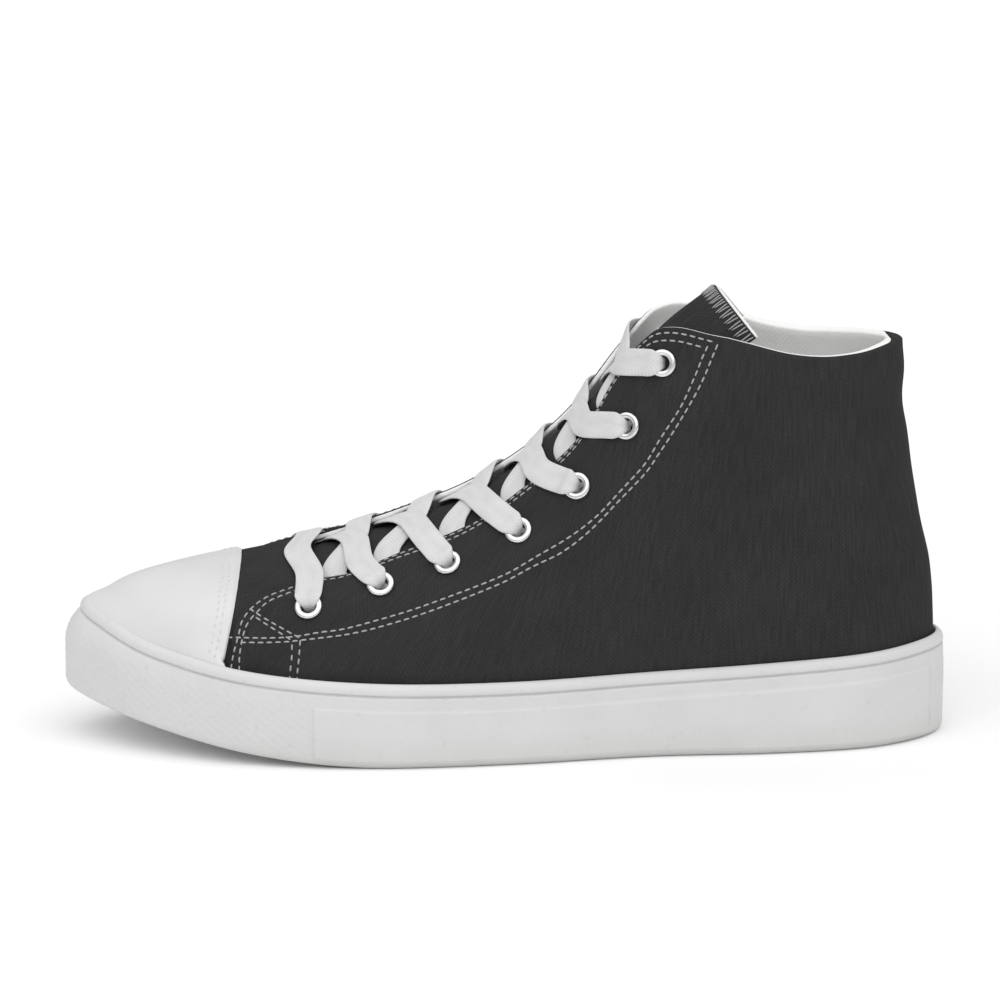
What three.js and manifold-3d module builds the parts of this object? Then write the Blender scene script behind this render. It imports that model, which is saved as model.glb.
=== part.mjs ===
// A left-foot high top canvas sneaker, put together from a moulded cup sole, a hollow canvas upper,
// a toe cap, a tongue, an insole, metal eyelets and a flat lace.
// Millimetres, +Z up. The toe points to -X, the outer (lateral) side faces -Y.
// The origin is under the middle of the shoe's box, on the plane that it stands on.
import * as THREE from "three";
import { mergeVertices } from "three/addons/utils/BufferGeometryUtils.js";
import Module from "manifold-3d";

const wasm = await Module();
wasm.setup();

// ---------------------------------------------------------------- driving sizes
const SOLE_LENGTH = 300;
const HALF_LENGTH = SOLE_LENGTH / 2;
const TOE_SPRING = 16.5; // how far the sole's tip is off the ground
const SPRING_START = -40; // x where the sole starts to rise
const SPRING_POWER = 1.8;
const WALL = 2; // canvas and lining together
const CLEARANCE = 0.3; // between pieces that meet
const CUP_WALL = 2.9; // the sole's side wall at its inner face
const UPPER_INSET = CUP_WALL + CLEARANCE; // from the sole's outline to the upper's outer face
const STATIONS = 20; // the shoe's outline is told round in twenty parts, ten a side

// The sole, from the heel's back (0) to the toe's tip (10): how far each side stands off the centre
// plane, the height of the side wall's rim, how far the rim leans in, and the thickness underfoot.
const SOLE = [
  { station: 0, lateral: -2, medial: -2, rim: 34.5, lean: 0, floor: 15 },
  { station: 1, lateral: -19, medial: 16.5, rim: 34, lean: 0, floor: 15 },
  { station: 2, lateral: -33.5, medial: 31, rim: 32.6, lean: 0, floor: 15 },
  { station: 3, lateral: -39.6, medial: 36.5, rim: 31, lean: 0, floor: 14.5 },
  { station: 4, lateral: -41.5, medial: 37, rim: 28.9, lean: 0, floor: 13.5 },
  { station: 5, lateral: -49.5, medial: 46, rim: 28, lean: 0, floor: 12 },
  { station: 6, lateral: -52.5, medial: 52.5, rim: 28.7, lean: 0, floor: 11 },
  { station: 7, lateral: -45.5, medial: 50, rim: 31.5, lean: 0.6, floor: 10.5 },
  { station: 8, lateral: -28, medial: 39.5, rim: 36.8, lean: 2.6, floor: 10.5 },
  { station: 9, lateral: -9, medial: 22.5, rim: 44, lean: 4.8, floor: 10.5 },
  { station: 10, lateral: 7, medial: 7, rim: 47, lean: 6, floor: 10.5 },
];

// Where the upper's top edge runs: round the collar, over the eyestay's top corner, down the throat
// and round its front end. The station says which part of the outline stands below each point.
const TOP_EDGE = {
  lateral: [
    { station: 0, x: 134, y: -2, z: 135.5 },
    { station: 1, x: 127.8, y: -17, z: 134.6 },
    { station: 2, x: 114, y: -27.5, z: 133 },
    { station: 2.5, x: 104, y: -30.5, z: 132.8 },
    { station: 3, x: 92, y: -32.8, z: 134.4 },
    { station: 3.5, x: 78, y: -33.6, z: 138.2 },
    { station: 4, x: 66, y: -32, z: 141.2 },
    { station: 4.3, x: 55, y: -29, z: 143.4 },
    { station: 4.5, x: 49, y: -26.5, z: 142.6 },
    { station: 4.7, x: 45, y: -23.8, z: 139.2 },
    { station: 5, x: 38, y: -20.8, z: 130.4 },
    { station: 5.5, x: 25, y: -19.2, z: 107.2 },
    { station: 6, x: 9, y: -19, z: 91.6 },
    { station: 6.5, x: -12, y: -19.2, z: 76.6 },
    { station: 7, x: -34, y: -20, z: 67.8 },
    { station: 7.5, x: -50, y: -21, z: 61.4 },
    { station: 8, x: -61, y: -20.6, z: 58.2 },
    { station: 8.5, x: -67.5, y: -17, z: 58.4 },
    { station: 9, x: -71, y: -11, z: 59.8 },
    { station: 9.5, x: -72.6, y: -4, z: 61.4 },
  ],
  medial: [
    { station: 10, x: -73, y: 3, z: 62.5 },
    { station: 9.5, x: -72.4, y: 8.5, z: 63 },
    { station: 9, x: -70.5, y: 14, z: 63.6 },
    { station: 8.5, x: -66.5, y: 18.3, z: 64.2 },
    { station: 8, x: -60, y: 20.6, z: 65.6 },
    { station: 7.5, x: -49.5, y: 20.8, z: 68.8 },
    { station: 7, x: -34, y: 20.4, z: 74.2 },
    { station: 6.5, x: -12, y: 20, z: 83 },
    { station: 6, x: 9, y: 20, z: 96 },
    { station: 5.5, x: 25, y: 20.5, z: 110.6 },
    { station: 5, x: 39, y: 22, z: 128.6 },
    { station: 4.7, x: 47, y: 24.5, z: 137.6 },
    { station: 4.5, x: 51.5, y: 26.5, z: 141.2 },
    { station: 4.3, x: 58, y: 28.5, z: 143 },
    { station: 4, x: 68, y: 30.5, z: 142 },
    { station: 3.5, x: 79, y: 32, z: 139.5 },
    { station: 3, x: 92, y: 31.2, z: 136 },
    { station: 2.5, x: 104, y: 28.7, z: 134.3 },
    { station: 2, x: 114, y: 24.8, z: 134.4 },
    { station: 1, x: 127.5, y: 13.5, z: 135 },
  ],
};

// How the canvas climbs from the sole to the top edge: how high it rises straight up, and the way
// (back, inwards, up) that it comes in to the edge.
const CLIMB = [
  { station: 0, rise: 44, back: 0.8, inward: 0, up: 38 },
  { station: 1, rise: 44, back: 0.6, inward: 0.4, up: 38 },
  { station: 2, rise: 42, back: 0, inward: 1.6, up: 40 },
  { station: 3, rise: 38, back: 2, inward: 2.5, up: 44 },
  { station: 4, rise: 32, back: 9, inward: 4.5, up: 42 },
  { station: 5, rise: 28, back: 10, inward: 9, up: 32 },
  { station: 6, rise: 24, back: 10, inward: 12.5, up: 20 },
  { station: 7, rise: 22, back: 12, inward: 17, up: 11.5 },
  { station: 8, rise: 26, back: 24, inward: 16, up: 8 },
  { station: 9, rise: 30, back: 40, inward: 7, up: 8 },
  { station: 10, rise: 33, back: 45, inward: 0, up: 8 },
];

// The padded collar: foam under the canvas, thickest at the topline and gone at the eyestay.
const COLLAR = { foam: 4, depth: 24, puff: 0.6, crease: 0.3, fullTo: 3, endsAt: 4.1 };

// The tongue's outer face, from under the vamp to its free top: the ridge line, the radius that it is
// bent to, how far it reaches round that arc on each side, and how much it tips to the outer side.
const TONGUE_THICKNESS = 2.6;
const TONGUE = [
  { x: -96, y: 1.5, z: 55, radius: 53, reach: 19, tilt: 8.6 },
  { x: -74, y: 1.5, z: 59.1, radius: 52, reach: 23, tilt: 8.6 },
  { x: -42, y: 0, z: 68.6, radius: 48, reach: 26.5, tilt: 7.5 },
  { x: -21, y: -0.3, z: 76, radius: 43, reach: 27.3, tilt: 6 },
  { x: 0, y: -0.4, z: 88, radius: 36, reach: 28.5, tilt: 5 },
  { x: 18, y: 0, z: 102.4, radius: 33.5, reach: 29.5, tilt: 2 },
  { x: 32, y: 0.5, z: 117, radius: 33, reach: 31, tilt: -1 },
  { x: 44, y: 0.8, z: 130.2, radius: 31, reach: 32, tilt: -1.5 },
  { x: 57, y: 0.7, z: 142.2, radius: 28, reach: 33, tilt: -1 },
  { x: 71, y: 0.5, z: 153.6, radius: 25.5, reach: 33, tilt: 0 },
];

// Rolled metal eyelets, seven a side: how far up the throat's edge each stands, from the throat's
// front corner; where the lace that ends in it comes over that edge; where the next strap comes up
// from under it; and how far the eyelet is from the edge. Then their profile and the flat lace.
const EYELET_ROWS = [
  { pair: 1, lateral: -2, medial: -4.5, over: -4.9, under: 2, fromEdge: 15.5 },
  { pair: 2, lateral: 15.8, medial: 15.8, over: 12, under: 20.5, fromEdge: 11.8 },
  { pair: 3, lateral: 39.7, medial: 39.7, over: 36, under: 44, fromEdge: 12.5 },
  { pair: 4, lateral: 63.9, medial: 63.9, over: 60, under: 68, fromEdge: 14 },
  { pair: 5, lateral: 87.4, medial: 87.4, over: 80, under: 91, fromEdge: 15.3 },
  { pair: 6, lateral: 110.8, medial: 110.8, over: 102, under: 113, fromEdge: 15 },
  { pair: 7, lateral: 140, medial: 140, over: 127, under: 135, fromEdge: 10.8 },
];
const EYELET = { seat: 0.6, flange: 4.7, bore: 2.5, barrel: 3.1, lip: 0.9, back: 4.1, backLip: 0.5 };
const LACE = { width: 9, thickness: 1.6 };
// How high the lace's middle runs above whatever is under it: on the tongue where it comes up from
// below, where it lies alone, where it crosses over the other strap, before and at the eyestay's edge,
// past the edge, and over the eyelet.
const LACE_RISE = { start: 1.15, alone: 1.3, over: 2.6, before: 4.9, edge: 3.5, past: 3.6, eyelet: 3.7 };
const LACE_FROM_EDGE = 6.5; // where it comes up, inside the throat's edge

const COLOURS = {
  canvas: 0x2c2c2d,
  rubber: 0xe6e6e6,
  toeCap: 0xeaeaea,
  insole: 0xdedede,
  lace: 0xf0f0f0,
  eyelet: 0xdfe0e2,
};

// ---------------------------------------------------------------- curves and tables
// A smooth closed column: through each value at its knot, with slopes from its neighbours.
function closedColumn(knots, values) {
  const count = knots.length;
  const at = (k) => {
    const lap = Math.floor(k / count);
    const index = k - lap * count;
    return [knots[index] + lap * STATIONS, values[index]];
  };
  const slope = (k) => {
    const [x0, y0] = at(k - 1);
    const [x1, y1] = at(k);
    const [x2, y2] = at(k + 1);
    const before = (y1 - y0) / (x1 - x0);
    const after = (y2 - y1) / (x2 - x1);
    return (before * (x2 - x1) + after * (x1 - x0)) / (x2 - x0);
  };
  return (where) => {
    const s = where - Math.floor(where / STATIONS) * STATIONS;
    let k = count - 1;
    while (knots[k] > s) k -= 1;
    const [x1, y1] = at(k);
    const [x2, y2] = at(k + 1);
    const span = x2 - x1;
    const f = (s - x1) / span;
    const ends = y1 * (1 + 2 * f) * (1 - f) ** 2 + y2 * f * f * (3 - 2 * f);
    return ends + span * (slope(k) * f * (1 - f) ** 2 - slope(k + 1) * f * f * (1 - f));
  };
}

// Rows told once for both sides, or one column for each side, as one closed column.
function bothSides(rows, lateral, medial = lateral, flip = 1) {
  const back = rows.slice(1, -1).reverse();
  const knots = [...rows.map((r) => r.station), ...back.map((r) => STATIONS - r.station)];
  const values = [...rows.map((r) => r[lateral]), ...back.map((r) => flip * r[medial])];
  return closedColumn(knots, values);
}

function topEdgeColumn(name) {
  const knots = [
    ...TOP_EDGE.lateral.map((r) => r.station),
    ...TOP_EDGE.medial.map((r) => STATIONS - r.station),
  ];
  const rows = [...TOP_EDGE.lateral, ...TOP_EDGE.medial];
  return closedColumn(knots, rows.map((r) => r[name]));
}

const smooth = (x, low, high) => THREE.MathUtils.smoothstep(x, low, high);

// ---------------------------------------------------------------- the last
const soleY = bothSides(SOLE, "lateral", "medial");
const rimHeight = bothSides(SOLE, "rim");
const rimLean = bothSides(SOLE, "lean");
const floorThickness = bothSides(SOLE, "floor");
const edge = { x: topEdgeColumn("x"), y: topEdgeColumn("y"), z: topEdgeColumn("z") };
const climb = {
  rise: bothSides(CLIMB, "rise"),
  back: bothSides(CLIMB, "back"),
  inward: bothSides(CLIMB, "inward", "inward", -1),
  up: bothSides(CLIMB, "up"),
};

// The sole's outline at a station, moved in by inset along its own normal.
function outline(station, inset = 0) {
  const point = (s) =>
    new THREE.Vector2(HALF_LENGTH * Math.cos((Math.PI * s) / 10), soleY(s));
  const step = 0.01;
  const along = point(station + step).sub(point(station - step)).normalize();
  return point(station).add(new THREE.Vector2(along.y, -along.x).multiplyScalar(inset));
}

// How far the toe spring lifts the sole at x.
function spring(x) {
  const share = (SPRING_START - x) / (SPRING_START + HALF_LENGTH);
  return share > 0 ? TOE_SPRING * Math.min(share, 1) ** SPRING_POWER : 0;
}

function floorHeight(station, inset) {
  return spring(outline(station, inset).x) + floorThickness(station);
}

// One rib of the upper: four control points from the sole's cavity to the top edge.
function rib(station) {
  const foot = outline(station, UPPER_INSET);
  const higher = outline(station, UPPER_INSET + 1.15 * rimLean(station));
  const low = floorHeight(station, UPPER_INSET) + CLEARANCE;
  const top = new THREE.Vector3(edge.x(station), edge.y(station), edge.z(station));
  const arrive = new THREE.Vector3(climb.back(station), climb.inward(station), climb.up(station));
  return new THREE.CubicBezierCurve3(
    new THREE.Vector3(foot.x, foot.y, low),
    new THREE.Vector3(higher.x, higher.y, low + climb.rise(station)),
    top.clone().sub(arrive),
    top,
  );
}

function lastPoint(station, t) {
  return rib(station).getPoint(t);
}

function lastNormal(station, t) {
  const da = 0.02;
  const dt = 0.01;
  const round = lastPoint(station + da, t).sub(lastPoint(station - da, t));
  const up = lastPoint(station, Math.min(t + dt, 1)).sub(lastPoint(station, Math.max(t - dt, 0)));
  return up.cross(round).normalize();
}

// The collar's share of foam at a station: all of it round the heel, none at the eyestay.
function collarShare(station) {
  const side = Math.min(station, STATIONS - station);
  return 1 - smooth(side, COLLAR.fullTo, COLLAR.endsAt);
}

// How far down from the top edge a point lies, near enough straight.
function belowEdge(station, t) {
  return lastPoint(station, t).distanceTo(lastPoint(station, 1));
}

function wallAt(station, t) {
  const foam = 1 - smooth(belowEdge(station, t), COLLAR.depth / 2, COLLAR.depth);
  return WALL + COLLAR.foam * collarShare(station) * foam;
}

// The upper's outer face, moved out by offset. The collar's foam swells it above a shallow crease.
function upperPoint(station, t, offset = 0) {
  const down = belowEdge(station, t);
  const puff = COLLAR.puff * Math.sin(Math.PI * Math.min(down / (0.75 * COLLAR.depth), 1)) ** 2;
  const creaseAt = (down - COLLAR.depth) / (0.25 * COLLAR.depth);
  const crease = COLLAR.crease * Math.exp(-(creaseAt ** 2));
  const swell = collarShare(station) * (puff - crease);
  return lastPoint(station, t).addScaledVector(lastNormal(station, t), swell + offset);
}

// ---------------------------------------------------------------- closed meshes
function meshGeometry(points, faces) {
  const geometry = new THREE.BufferGeometry();
  const flat = new Float32Array(points.flatMap((p) => [p.x, p.y, p.z]));
  geometry.setAttribute("position", new THREE.BufferAttribute(flat, 3));
  geometry.setIndex(faces.flat());
  return geometry;
}

// Rings of equally many points, joined in order. The first and last are closed straight across, from
// each point to the one on the other side; without ends, the last ring joins the first.
function ringSolid(rings, ends = true) {
  const count = rings[0].length;
  const points = rings.flat();
  const faces = [];
  const last = rings.length - (ends ? 1 : 0);
  for (let r = 0; r < last; r += 1) {
    const low = r * count;
    const high = ((r + 1) % rings.length) * count;
    for (let k = 0; k < count; k += 1) {
      const next = (k + 1) % count;
      faces.push([low + k, high + k, high + next], [low + k, high + next, low + next]);
    }
  }
  const across = (base, flip) => {
    for (let k = 0; 2 * k < count; k += 1) {
      const [a, b, c, d] = [k, k + 1, count - k - 1, (count - k) % count].map((i) => base + i);
      if (a !== d) faces.push(flip ? [a, d, c] : [a, c, d]);
      if (b !== c) faces.push(flip ? [a, c, b] : [a, b, c]);
    }
  };
  if (ends) {
    across(0, false);
    across((rings.length - 1) * count, true);
  }
  return meshGeometry(points, faces);
}

// A sheet between two faces of points[row][column], closed all round its rim.
function sheetSolid(outer, inner) {
  const rows = outer.length;
  const columns = outer[0].length;
  const points = [...outer.flat(), ...inner.flat()];
  const under = rows * columns;
  const faces = [];
  const quad = (a, b, c, d) => faces.push([a, b, c], [a, c, d]);
  for (let r = 0; r + 1 < rows; r += 1) {
    for (let c = 0; c + 1 < columns; c += 1) {
      const a = r * columns + c;
      quad(a, a + 1, a + columns + 1, a + columns);
      quad(under + a, under + a + columns, under + a + columns + 1, under + a + 1);
    }
  }
  for (let c = 0; c + 1 < columns; c += 1) {
    const far = (rows - 1) * columns + c;
    quad(c, under + c, under + c + 1, c + 1);
    quad(far, far + 1, under + far + 1, under + far);
  }
  for (let r = 0; r + 1 < rows; r += 1) {
    const a = r * columns;
    const b = a + columns - 1;
    quad(a, a + columns, under + a + columns, under + a);
    quad(b, under + b, under + b + columns, b + columns);
  }
  return meshGeometry(points, faces);
}

function toSolid(geometry) {
  const bare = geometry.clone();
  bare.deleteAttribute("normal");
  bare.deleteAttribute("uv");
  const merged = mergeVertices(bare, 1e-4);
  return new wasm.Manifold(
    new wasm.Mesh({
      numProp: 3,
      vertProperties: merged.attributes.position.array,
      triVerts: new Uint32Array(merged.index.array),
    }),
  );
}

function fromSolid(solid) {
  const mesh = solid.getMesh();
  const geometry = new THREE.BufferGeometry();
  geometry.setAttribute("position", new THREE.BufferAttribute(mesh.vertProperties, 3));
  geometry.setIndex(new THREE.BufferAttribute(mesh.triVerts, 1));
  return geometry;
}

function makeMesh(name, geometry, color, roughness, metalness = 0) {
  geometry.computeVertexNormals();
  const material = new THREE.MeshStandardMaterial({ color, roughness, metalness });
  const mesh = new THREE.Mesh(geometry, material);
  mesh.name = name;
  return mesh;
}

// ---------------------------------------------------------------- cup sole
const SOLE_POINTS = 72;
const SOLE_FLAT_INSET = 3;
const GROOVE = { below: 4, half: 0.5, depth: 0.8 };
const TREAD = { depth: 2, width: 2.4, margin: 9, pitch: 9 };

function soleRing(inset, height, lean = 0) {
  return Array.from({ length: SOLE_POINTS }, (_, k) => {
    const station = (k * STATIONS) / SOLE_POINTS;
    const at = outline(station, inset + lean * rimLean(station));
    return new THREE.Vector3(at.x, at.y, height(station));
  });
}

// Its rings from the ground up the side wall, over the rim and down inside to the floor.
function makeSole() {
  const under = (inset, rise) => (station) => spring(outline(station, inset).x) + rise;
  const rim = (drop) => (station) => rimHeight(station) - drop;
  const middle = (station) => (under(0, 0)(station) + rimHeight(station)) / 2;
  const rings = [
    soleRing(SOLE_FLAT_INSET, under(SOLE_FLAT_INSET, 0)),
    soleRing(0.9, under(0.9, 1)),
    soleRing(0.2, under(0.2, 4)),
    soleRing(0, middle, 0.05),
    soleRing(0.1, rim(7.5), 0.25),
    soleRing(0.3, rim(GROOVE.below + GROOVE.half), 0.75),
    soleRing(0.3 + GROOVE.depth, rim(GROOVE.below), 0.8),
    soleRing(0.4, rim(GROOVE.below - GROOVE.half), 0.85),
    soleRing(1, rim(1.4), 0.95),
    soleRing(2.2, rim(0.1), 1),
    soleRing(CUP_WALL, rim(0), 1),
    soleRing(CUP_WALL, (station) => floorHeight(station, CUP_WALL)),
  ];
  let solid = toSolid(ringSolid(rings));
  treadBars().forEach((bar) => {
    solid = solid.subtract(bar);
  });
  return fromSolid(solid);
}

// Flex grooves across the flat heel and forefoot, kept inside a plain border.
function treadBars() {
  const spans = [
    { from: 128, to: 62 },
    { from: 20, to: -44 },
  ];
  return spans.flatMap(({ from, to }) => {
    const count = Math.floor((from - to) / TREAD.pitch);
    return Array.from({ length: count + 1 }, (_, k) => {
      const x = from - k * TREAD.pitch;
      const station = (Math.acos(x / HALF_LENGTH) * 10) / Math.PI;
      const low = outline(station, TREAD.margin).y;
      const high = outline(STATIONS - station, TREAD.margin).y;
      const bar = new THREE.BoxGeometry(TREAD.width, high - low, 2 * TREAD.depth);
      bar.translate(x, (low + high) / 2, 0);
      return toSolid(bar);
    });
  });
}

// ---------------------------------------------------------------- insole
const INSOLE = { thickness: 4, gap: 0.5, edge: 1.2 };

function makeInsole() {
  const inset = UPPER_INSET + WALL + INSOLE.gap;
  const level = (rise) => (station) => floorHeight(station, inset) + CLEARANCE + rise;
  return ringSolid([
    soleRing(inset, level(0)),
    soleRing(inset, level(INSOLE.thickness - INSOLE.edge), 0.15),
    soleRing(inset + INSOLE.edge, level(INSOLE.thickness), 0.2),
  ]);
}

// ---------------------------------------------------------------- upper
const RIB_COUNT = 72;
const RIB_STEPS = 9;
const ROLL_STEPS = 3; // the rounded top edge, from the outer face to the lining

// Ribs stand closer together where the eyestay's top corners turn.
function ribStations() {
  const corner = 4.5;
  const crowd = (s) => Math.exp(-(((Math.min(s, STATIONS - s) - corner) / 0.5) ** 2));
  const fine = 2000;
  const total = [0];
  for (let k = 0; k < fine; k += 1) {
    total.push(total[k] + 1 + 1.6 * crowd((k + 0.5) * (STATIONS / fine)));
  }
  return Array.from({ length: RIB_COUNT }, (_, k) => {
    const goal = (k / RIB_COUNT) * total[fine];
    return (total.findIndex((sum) => sum >= goal) * STATIONS) / fine;
  });
}

function makeUpper() {
  const stations = ribStations();
  const rings = [];
  const ring = (build) => rings.push(stations.map(build));
  for (let k = 0; k <= RIB_STEPS; k += 1) {
    ring((s) => upperPoint(s, k / RIB_STEPS));
  }
  for (let k = 1; k < ROLL_STEPS; k += 1) {
    const angle = (Math.PI * k) / ROLL_STEPS;
    ring((s) => {
      const half = wallAt(s, 1) / 2;
      const normal = lastNormal(s, 1);
      const onward = lastPoint(s, 1).sub(lastPoint(s, 0.97)).normalize();
      const middle = upperPoint(s, 1, -half);
      return middle
        .addScaledVector(normal, half * Math.cos(angle))
        .addScaledVector(onward, half * Math.sin(angle));
    });
  }
  for (let k = RIB_STEPS; k >= 0; k -= 1) {
    ring((s) => {
      const t = k / RIB_STEPS;
      const point = upperPoint(s, t, -wallAt(s, t));
      if (k === 0) point.z = lastPoint(s, 0).z;
      return point;
    });
  }
  let solid = toSolid(ringSolid(rings, false));
  eyeletPlaces().forEach(({ point, normal }) => {
    const radius = EYELET.barrel + 2 * CLEARANCE;
    const hole = new THREE.CylinderGeometry(radius, radius, 6 * WALL, 8);
    hole.applyQuaternion(new THREE.Quaternion().setFromUnitVectors(new THREE.Vector3(0, 1, 0), normal));
    hole.translate(point.x, point.y, point.z);
    solid = solid.subtract(toSolid(hole));
  });
  return fromSolid(solid);
}

// ---------------------------------------------------------------- eyelets
// A walk over the upper from the throat's edge, square to it all the way.
function walkFromEdge(station, distance) {
  const step = 0.01;
  const tangent = lastPoint(station + step, 1).sub(lastPoint(station - step, 1)).normalize();
  let s = station;
  let t = 1;
  let walked = 0;
  while (walked < distance) {
    const here = lastPoint(s, t);
    const round = lastPoint(s + step, t).sub(here).dot(tangent) / step;
    const down = lastPoint(s, t - step).sub(here).dot(tangent) / step;
    t -= 0.002;
    s -= (0.002 * down) / round;
    walked += here.distanceTo(lastPoint(s, t));
  }
  return { station: s, t, point: upperPoint(s, t), normal: lastNormal(s, t) };
}

// The stations along the throat's edge at each row's distance from its front corner.
function edgeStations(side, column) {
  const stationOf = (s) => (side === "lateral" ? s : STATIONS - s);
  const step = 0.005;
  const stride = (s) => lastPoint(stationOf(s), 1).distanceTo(lastPoint(stationOf(s - step), 1));
  let s = 8;
  let walked = 0;
  while (walked > -5) {
    s += step;
    walked -= stride(s);
  }
  return EYELET_ROWS.map((row) => {
    while (walked < row[column]) {
      walked += stride(s);
      s -= step;
    }
    return stationOf(s);
  });
}

function eyeletPlaces() {
  return ["lateral", "medial"].flatMap((side) =>
    edgeStations(side, side).map((station, k) => ({
      name: `eyelet_${side}_${k + 1}`,
      ...walkFromEdge(station, EYELET_ROWS[k].fromEdge),
    })),
  );
}

function makeEyelet({ name, point, normal }) {
  const back = -(WALL + 3 * CLEARANCE + EYELET.backLip);
  const profile = [
    [EYELET.bore, back],
    [EYELET.back, back],
    [EYELET.back, back + EYELET.backLip],
    [EYELET.barrel, back + EYELET.backLip],
    [EYELET.barrel, EYELET.seat],
    [EYELET.flange, EYELET.seat],
    [(EYELET.flange + EYELET.bore) / 2, EYELET.seat + EYELET.lip],
    [EYELET.bore, EYELET.seat + EYELET.lip / 3],
    [EYELET.bore, back],
  ].map(([r, z]) => new THREE.Vector2(r, z));
  const geometry = new THREE.LatheGeometry(profile, 8);
  const mesh = makeMesh(name, fromSolid(toSolid(geometry)), COLOURS.eyelet, 0.25, 1);
  mesh.quaternion.setFromUnitVectors(new THREE.Vector3(0, 1, 0), normal);
  mesh.position.copy(point);
  return mesh;
}

// ---------------------------------------------------------------- toe cap
const TOE_CAP = { thickness: 1, seamLow: -95.6, seamLean: 0.215, seamFrom: 32, aboveRim: 0.4 };
const TOE_CAP_RIBS = 22;
const TOE_CAP_STEPS = 7;

// The first t on a rib, walking up, at which test holds.
function firstStep(station, from, test) {
  let t = from;
  while (t < 1 && !test(upperPoint(station, t))) t += 0.002;
  return t;
}

// The cap is the part of the toe in front of a seam that leans back a little, above the sole's rim.
function makeToeCap() {
  const behindSeam = (p) => p.x > TOE_CAP.seamLow + (p.z - TOE_CAP.seamFrom) * TOE_CAP.seamLean;
  const lowT = (s) => firstStep(s, 0, (p) => p.z > rimHeight(s) + TOE_CAP.aboveRim);
  const reaches = (s) => firstStep(s, lowT(s), behindSeam) - lowT(s) > 0.03;
  let from = 7;
  while (!reaches(from)) from += 0.01;
  let to = 13;
  while (!reaches(to)) to -= 0.01;
  const face = (offset) =>
    Array.from({ length: TOE_CAP_RIBS + 1 }, (_, k) => {
      const s = THREE.MathUtils.lerp(from, to, k / TOE_CAP_RIBS);
      const low = lowT(s);
      const high = firstStep(s, low, behindSeam);
      return Array.from({ length: TOE_CAP_STEPS + 1 }, (_, j) =>
        upperPoint(s, THREE.MathUtils.lerp(low, high, j / TOE_CAP_STEPS), offset),
      );
    });
  return sheetSolid(face(CLEARANCE + TOE_CAP.thickness), face(CLEARANCE));
}

// ---------------------------------------------------------------- tongue
const TONGUE_ACROSS = 10;
const TONGUE_ALONG = 16;

// The ridge line's frame at u, from 0 under the vamp to 1 at the free top.
function tongueFrame(u) {
  const curve = (name) => {
    const values = TONGUE.map((r) => r[name]);
    const place = u * (values.length - 1);
    const k = Math.min(Math.floor(place), values.length - 2);
    const f = place - k;
    const [a, b, c, d] = [-1, 0, 1, 2].map(
      (i) => values[THREE.MathUtils.clamp(k + i, 0, values.length - 1)],
    );
    return b + 0.5 * f * (c - a + f * (2 * a - 5 * b + 4 * c - d + f * (3 * (b - c) + d - a)));
  };
  const ridge = new THREE.Vector3(curve("x"), curve("y"), curve("z"));
  return { ridge, radius: curve("radius"), reach: curve("reach"), tilt: curve("tilt") };
}

// A point of the tongue: u along it, v from -1 (outer side) to 1 across it, depth below its face.
function tonguePoint(u, v, depth = 0) {
  const step = 0.004;
  const { ridge, radius, reach, tilt } = tongueFrame(u);
  const ahead = tongueFrame(Math.min(u + step, 1)).ridge;
  const along = ahead.sub(tongueFrame(Math.max(u - step, 0)).ridge).normalize();
  const across = new THREE.Vector3(0, 1, 0);
  across.applyAxisAngle(along, THREE.MathUtils.degToRad(tilt));
  const out = new THREE.Vector3().crossVectors(along, across).normalize();
  const angle = (v * reach) / radius;
  const from = radius - depth;
  return ridge
    .addScaledVector(across, from * Math.sin(angle))
    .addScaledVector(out, from * Math.cos(angle) - radius);
}

function makeTongue() {
  const face = (depth) =>
    Array.from({ length: TONGUE_ALONG + 1 }, (_, i) =>
      Array.from({ length: TONGUE_ACROSS + 1 }, (_, k) =>
        tonguePoint(i / TONGUE_ALONG, 1 - (2 * k) / TONGUE_ACROSS, depth),
      ),
    );
  return sheetSolid(face(0), face(TONGUE_THICKNESS));
}

// ---------------------------------------------------------------- lace
const LACE_STEPS = 10;

function tongueNormal(u, v) {
  return tonguePoint(u, v, -1).sub(tonguePoint(u, v)).normalize();
}

// The place on the tongue nearest to a point of the throat's edge.
function nearestOnTongue(point) {
  let best = { gap: Infinity };
  for (let i = 0; i <= 200; i += 1) {
    for (let k = -20; k <= 20; k += 1) {
      const gap = tonguePoint(i / 200, k / 20).distanceTo(point);
      if (gap < best.gap) best = { gap, u: i / 200, v: k / 20 };
    }
  }
  return best;
}

// What the lace meets beside each eyelet: the tongue where it comes up from under the edge, and the
// edge and eyestay where it comes over.
function lacePlaces() {
  return ["lateral", "medial"].map((side) => {
    const eyelets = edgeStations(side, side);
    const over = edgeStations(side, "over");
    const under = edgeStations(side, "under");
    return EYELET_ROWS.map((row, k) => {
      const near = nearestOnTongue(lastPoint(under[k], 1));
      const inward = LACE_FROM_EDGE / tongueFrame(near.u).reach;
      const eyelet = walkFromEdge(eyelets[k], row.fromEdge);
      const half = (over[k] + eyelet.station) / 2;
      const t = (1 + eyelet.t) / 2;
      return {
        u: near.u,
        v: near.v - Math.sign(near.v) * inward,
        edge: { point: lastPoint(over[k], 1), normal: lastNormal(over[k], 1) },
        past: { point: upperPoint(half, t), normal: lastNormal(half, t) },
        eyelet,
      };
    });
  });
}

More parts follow.
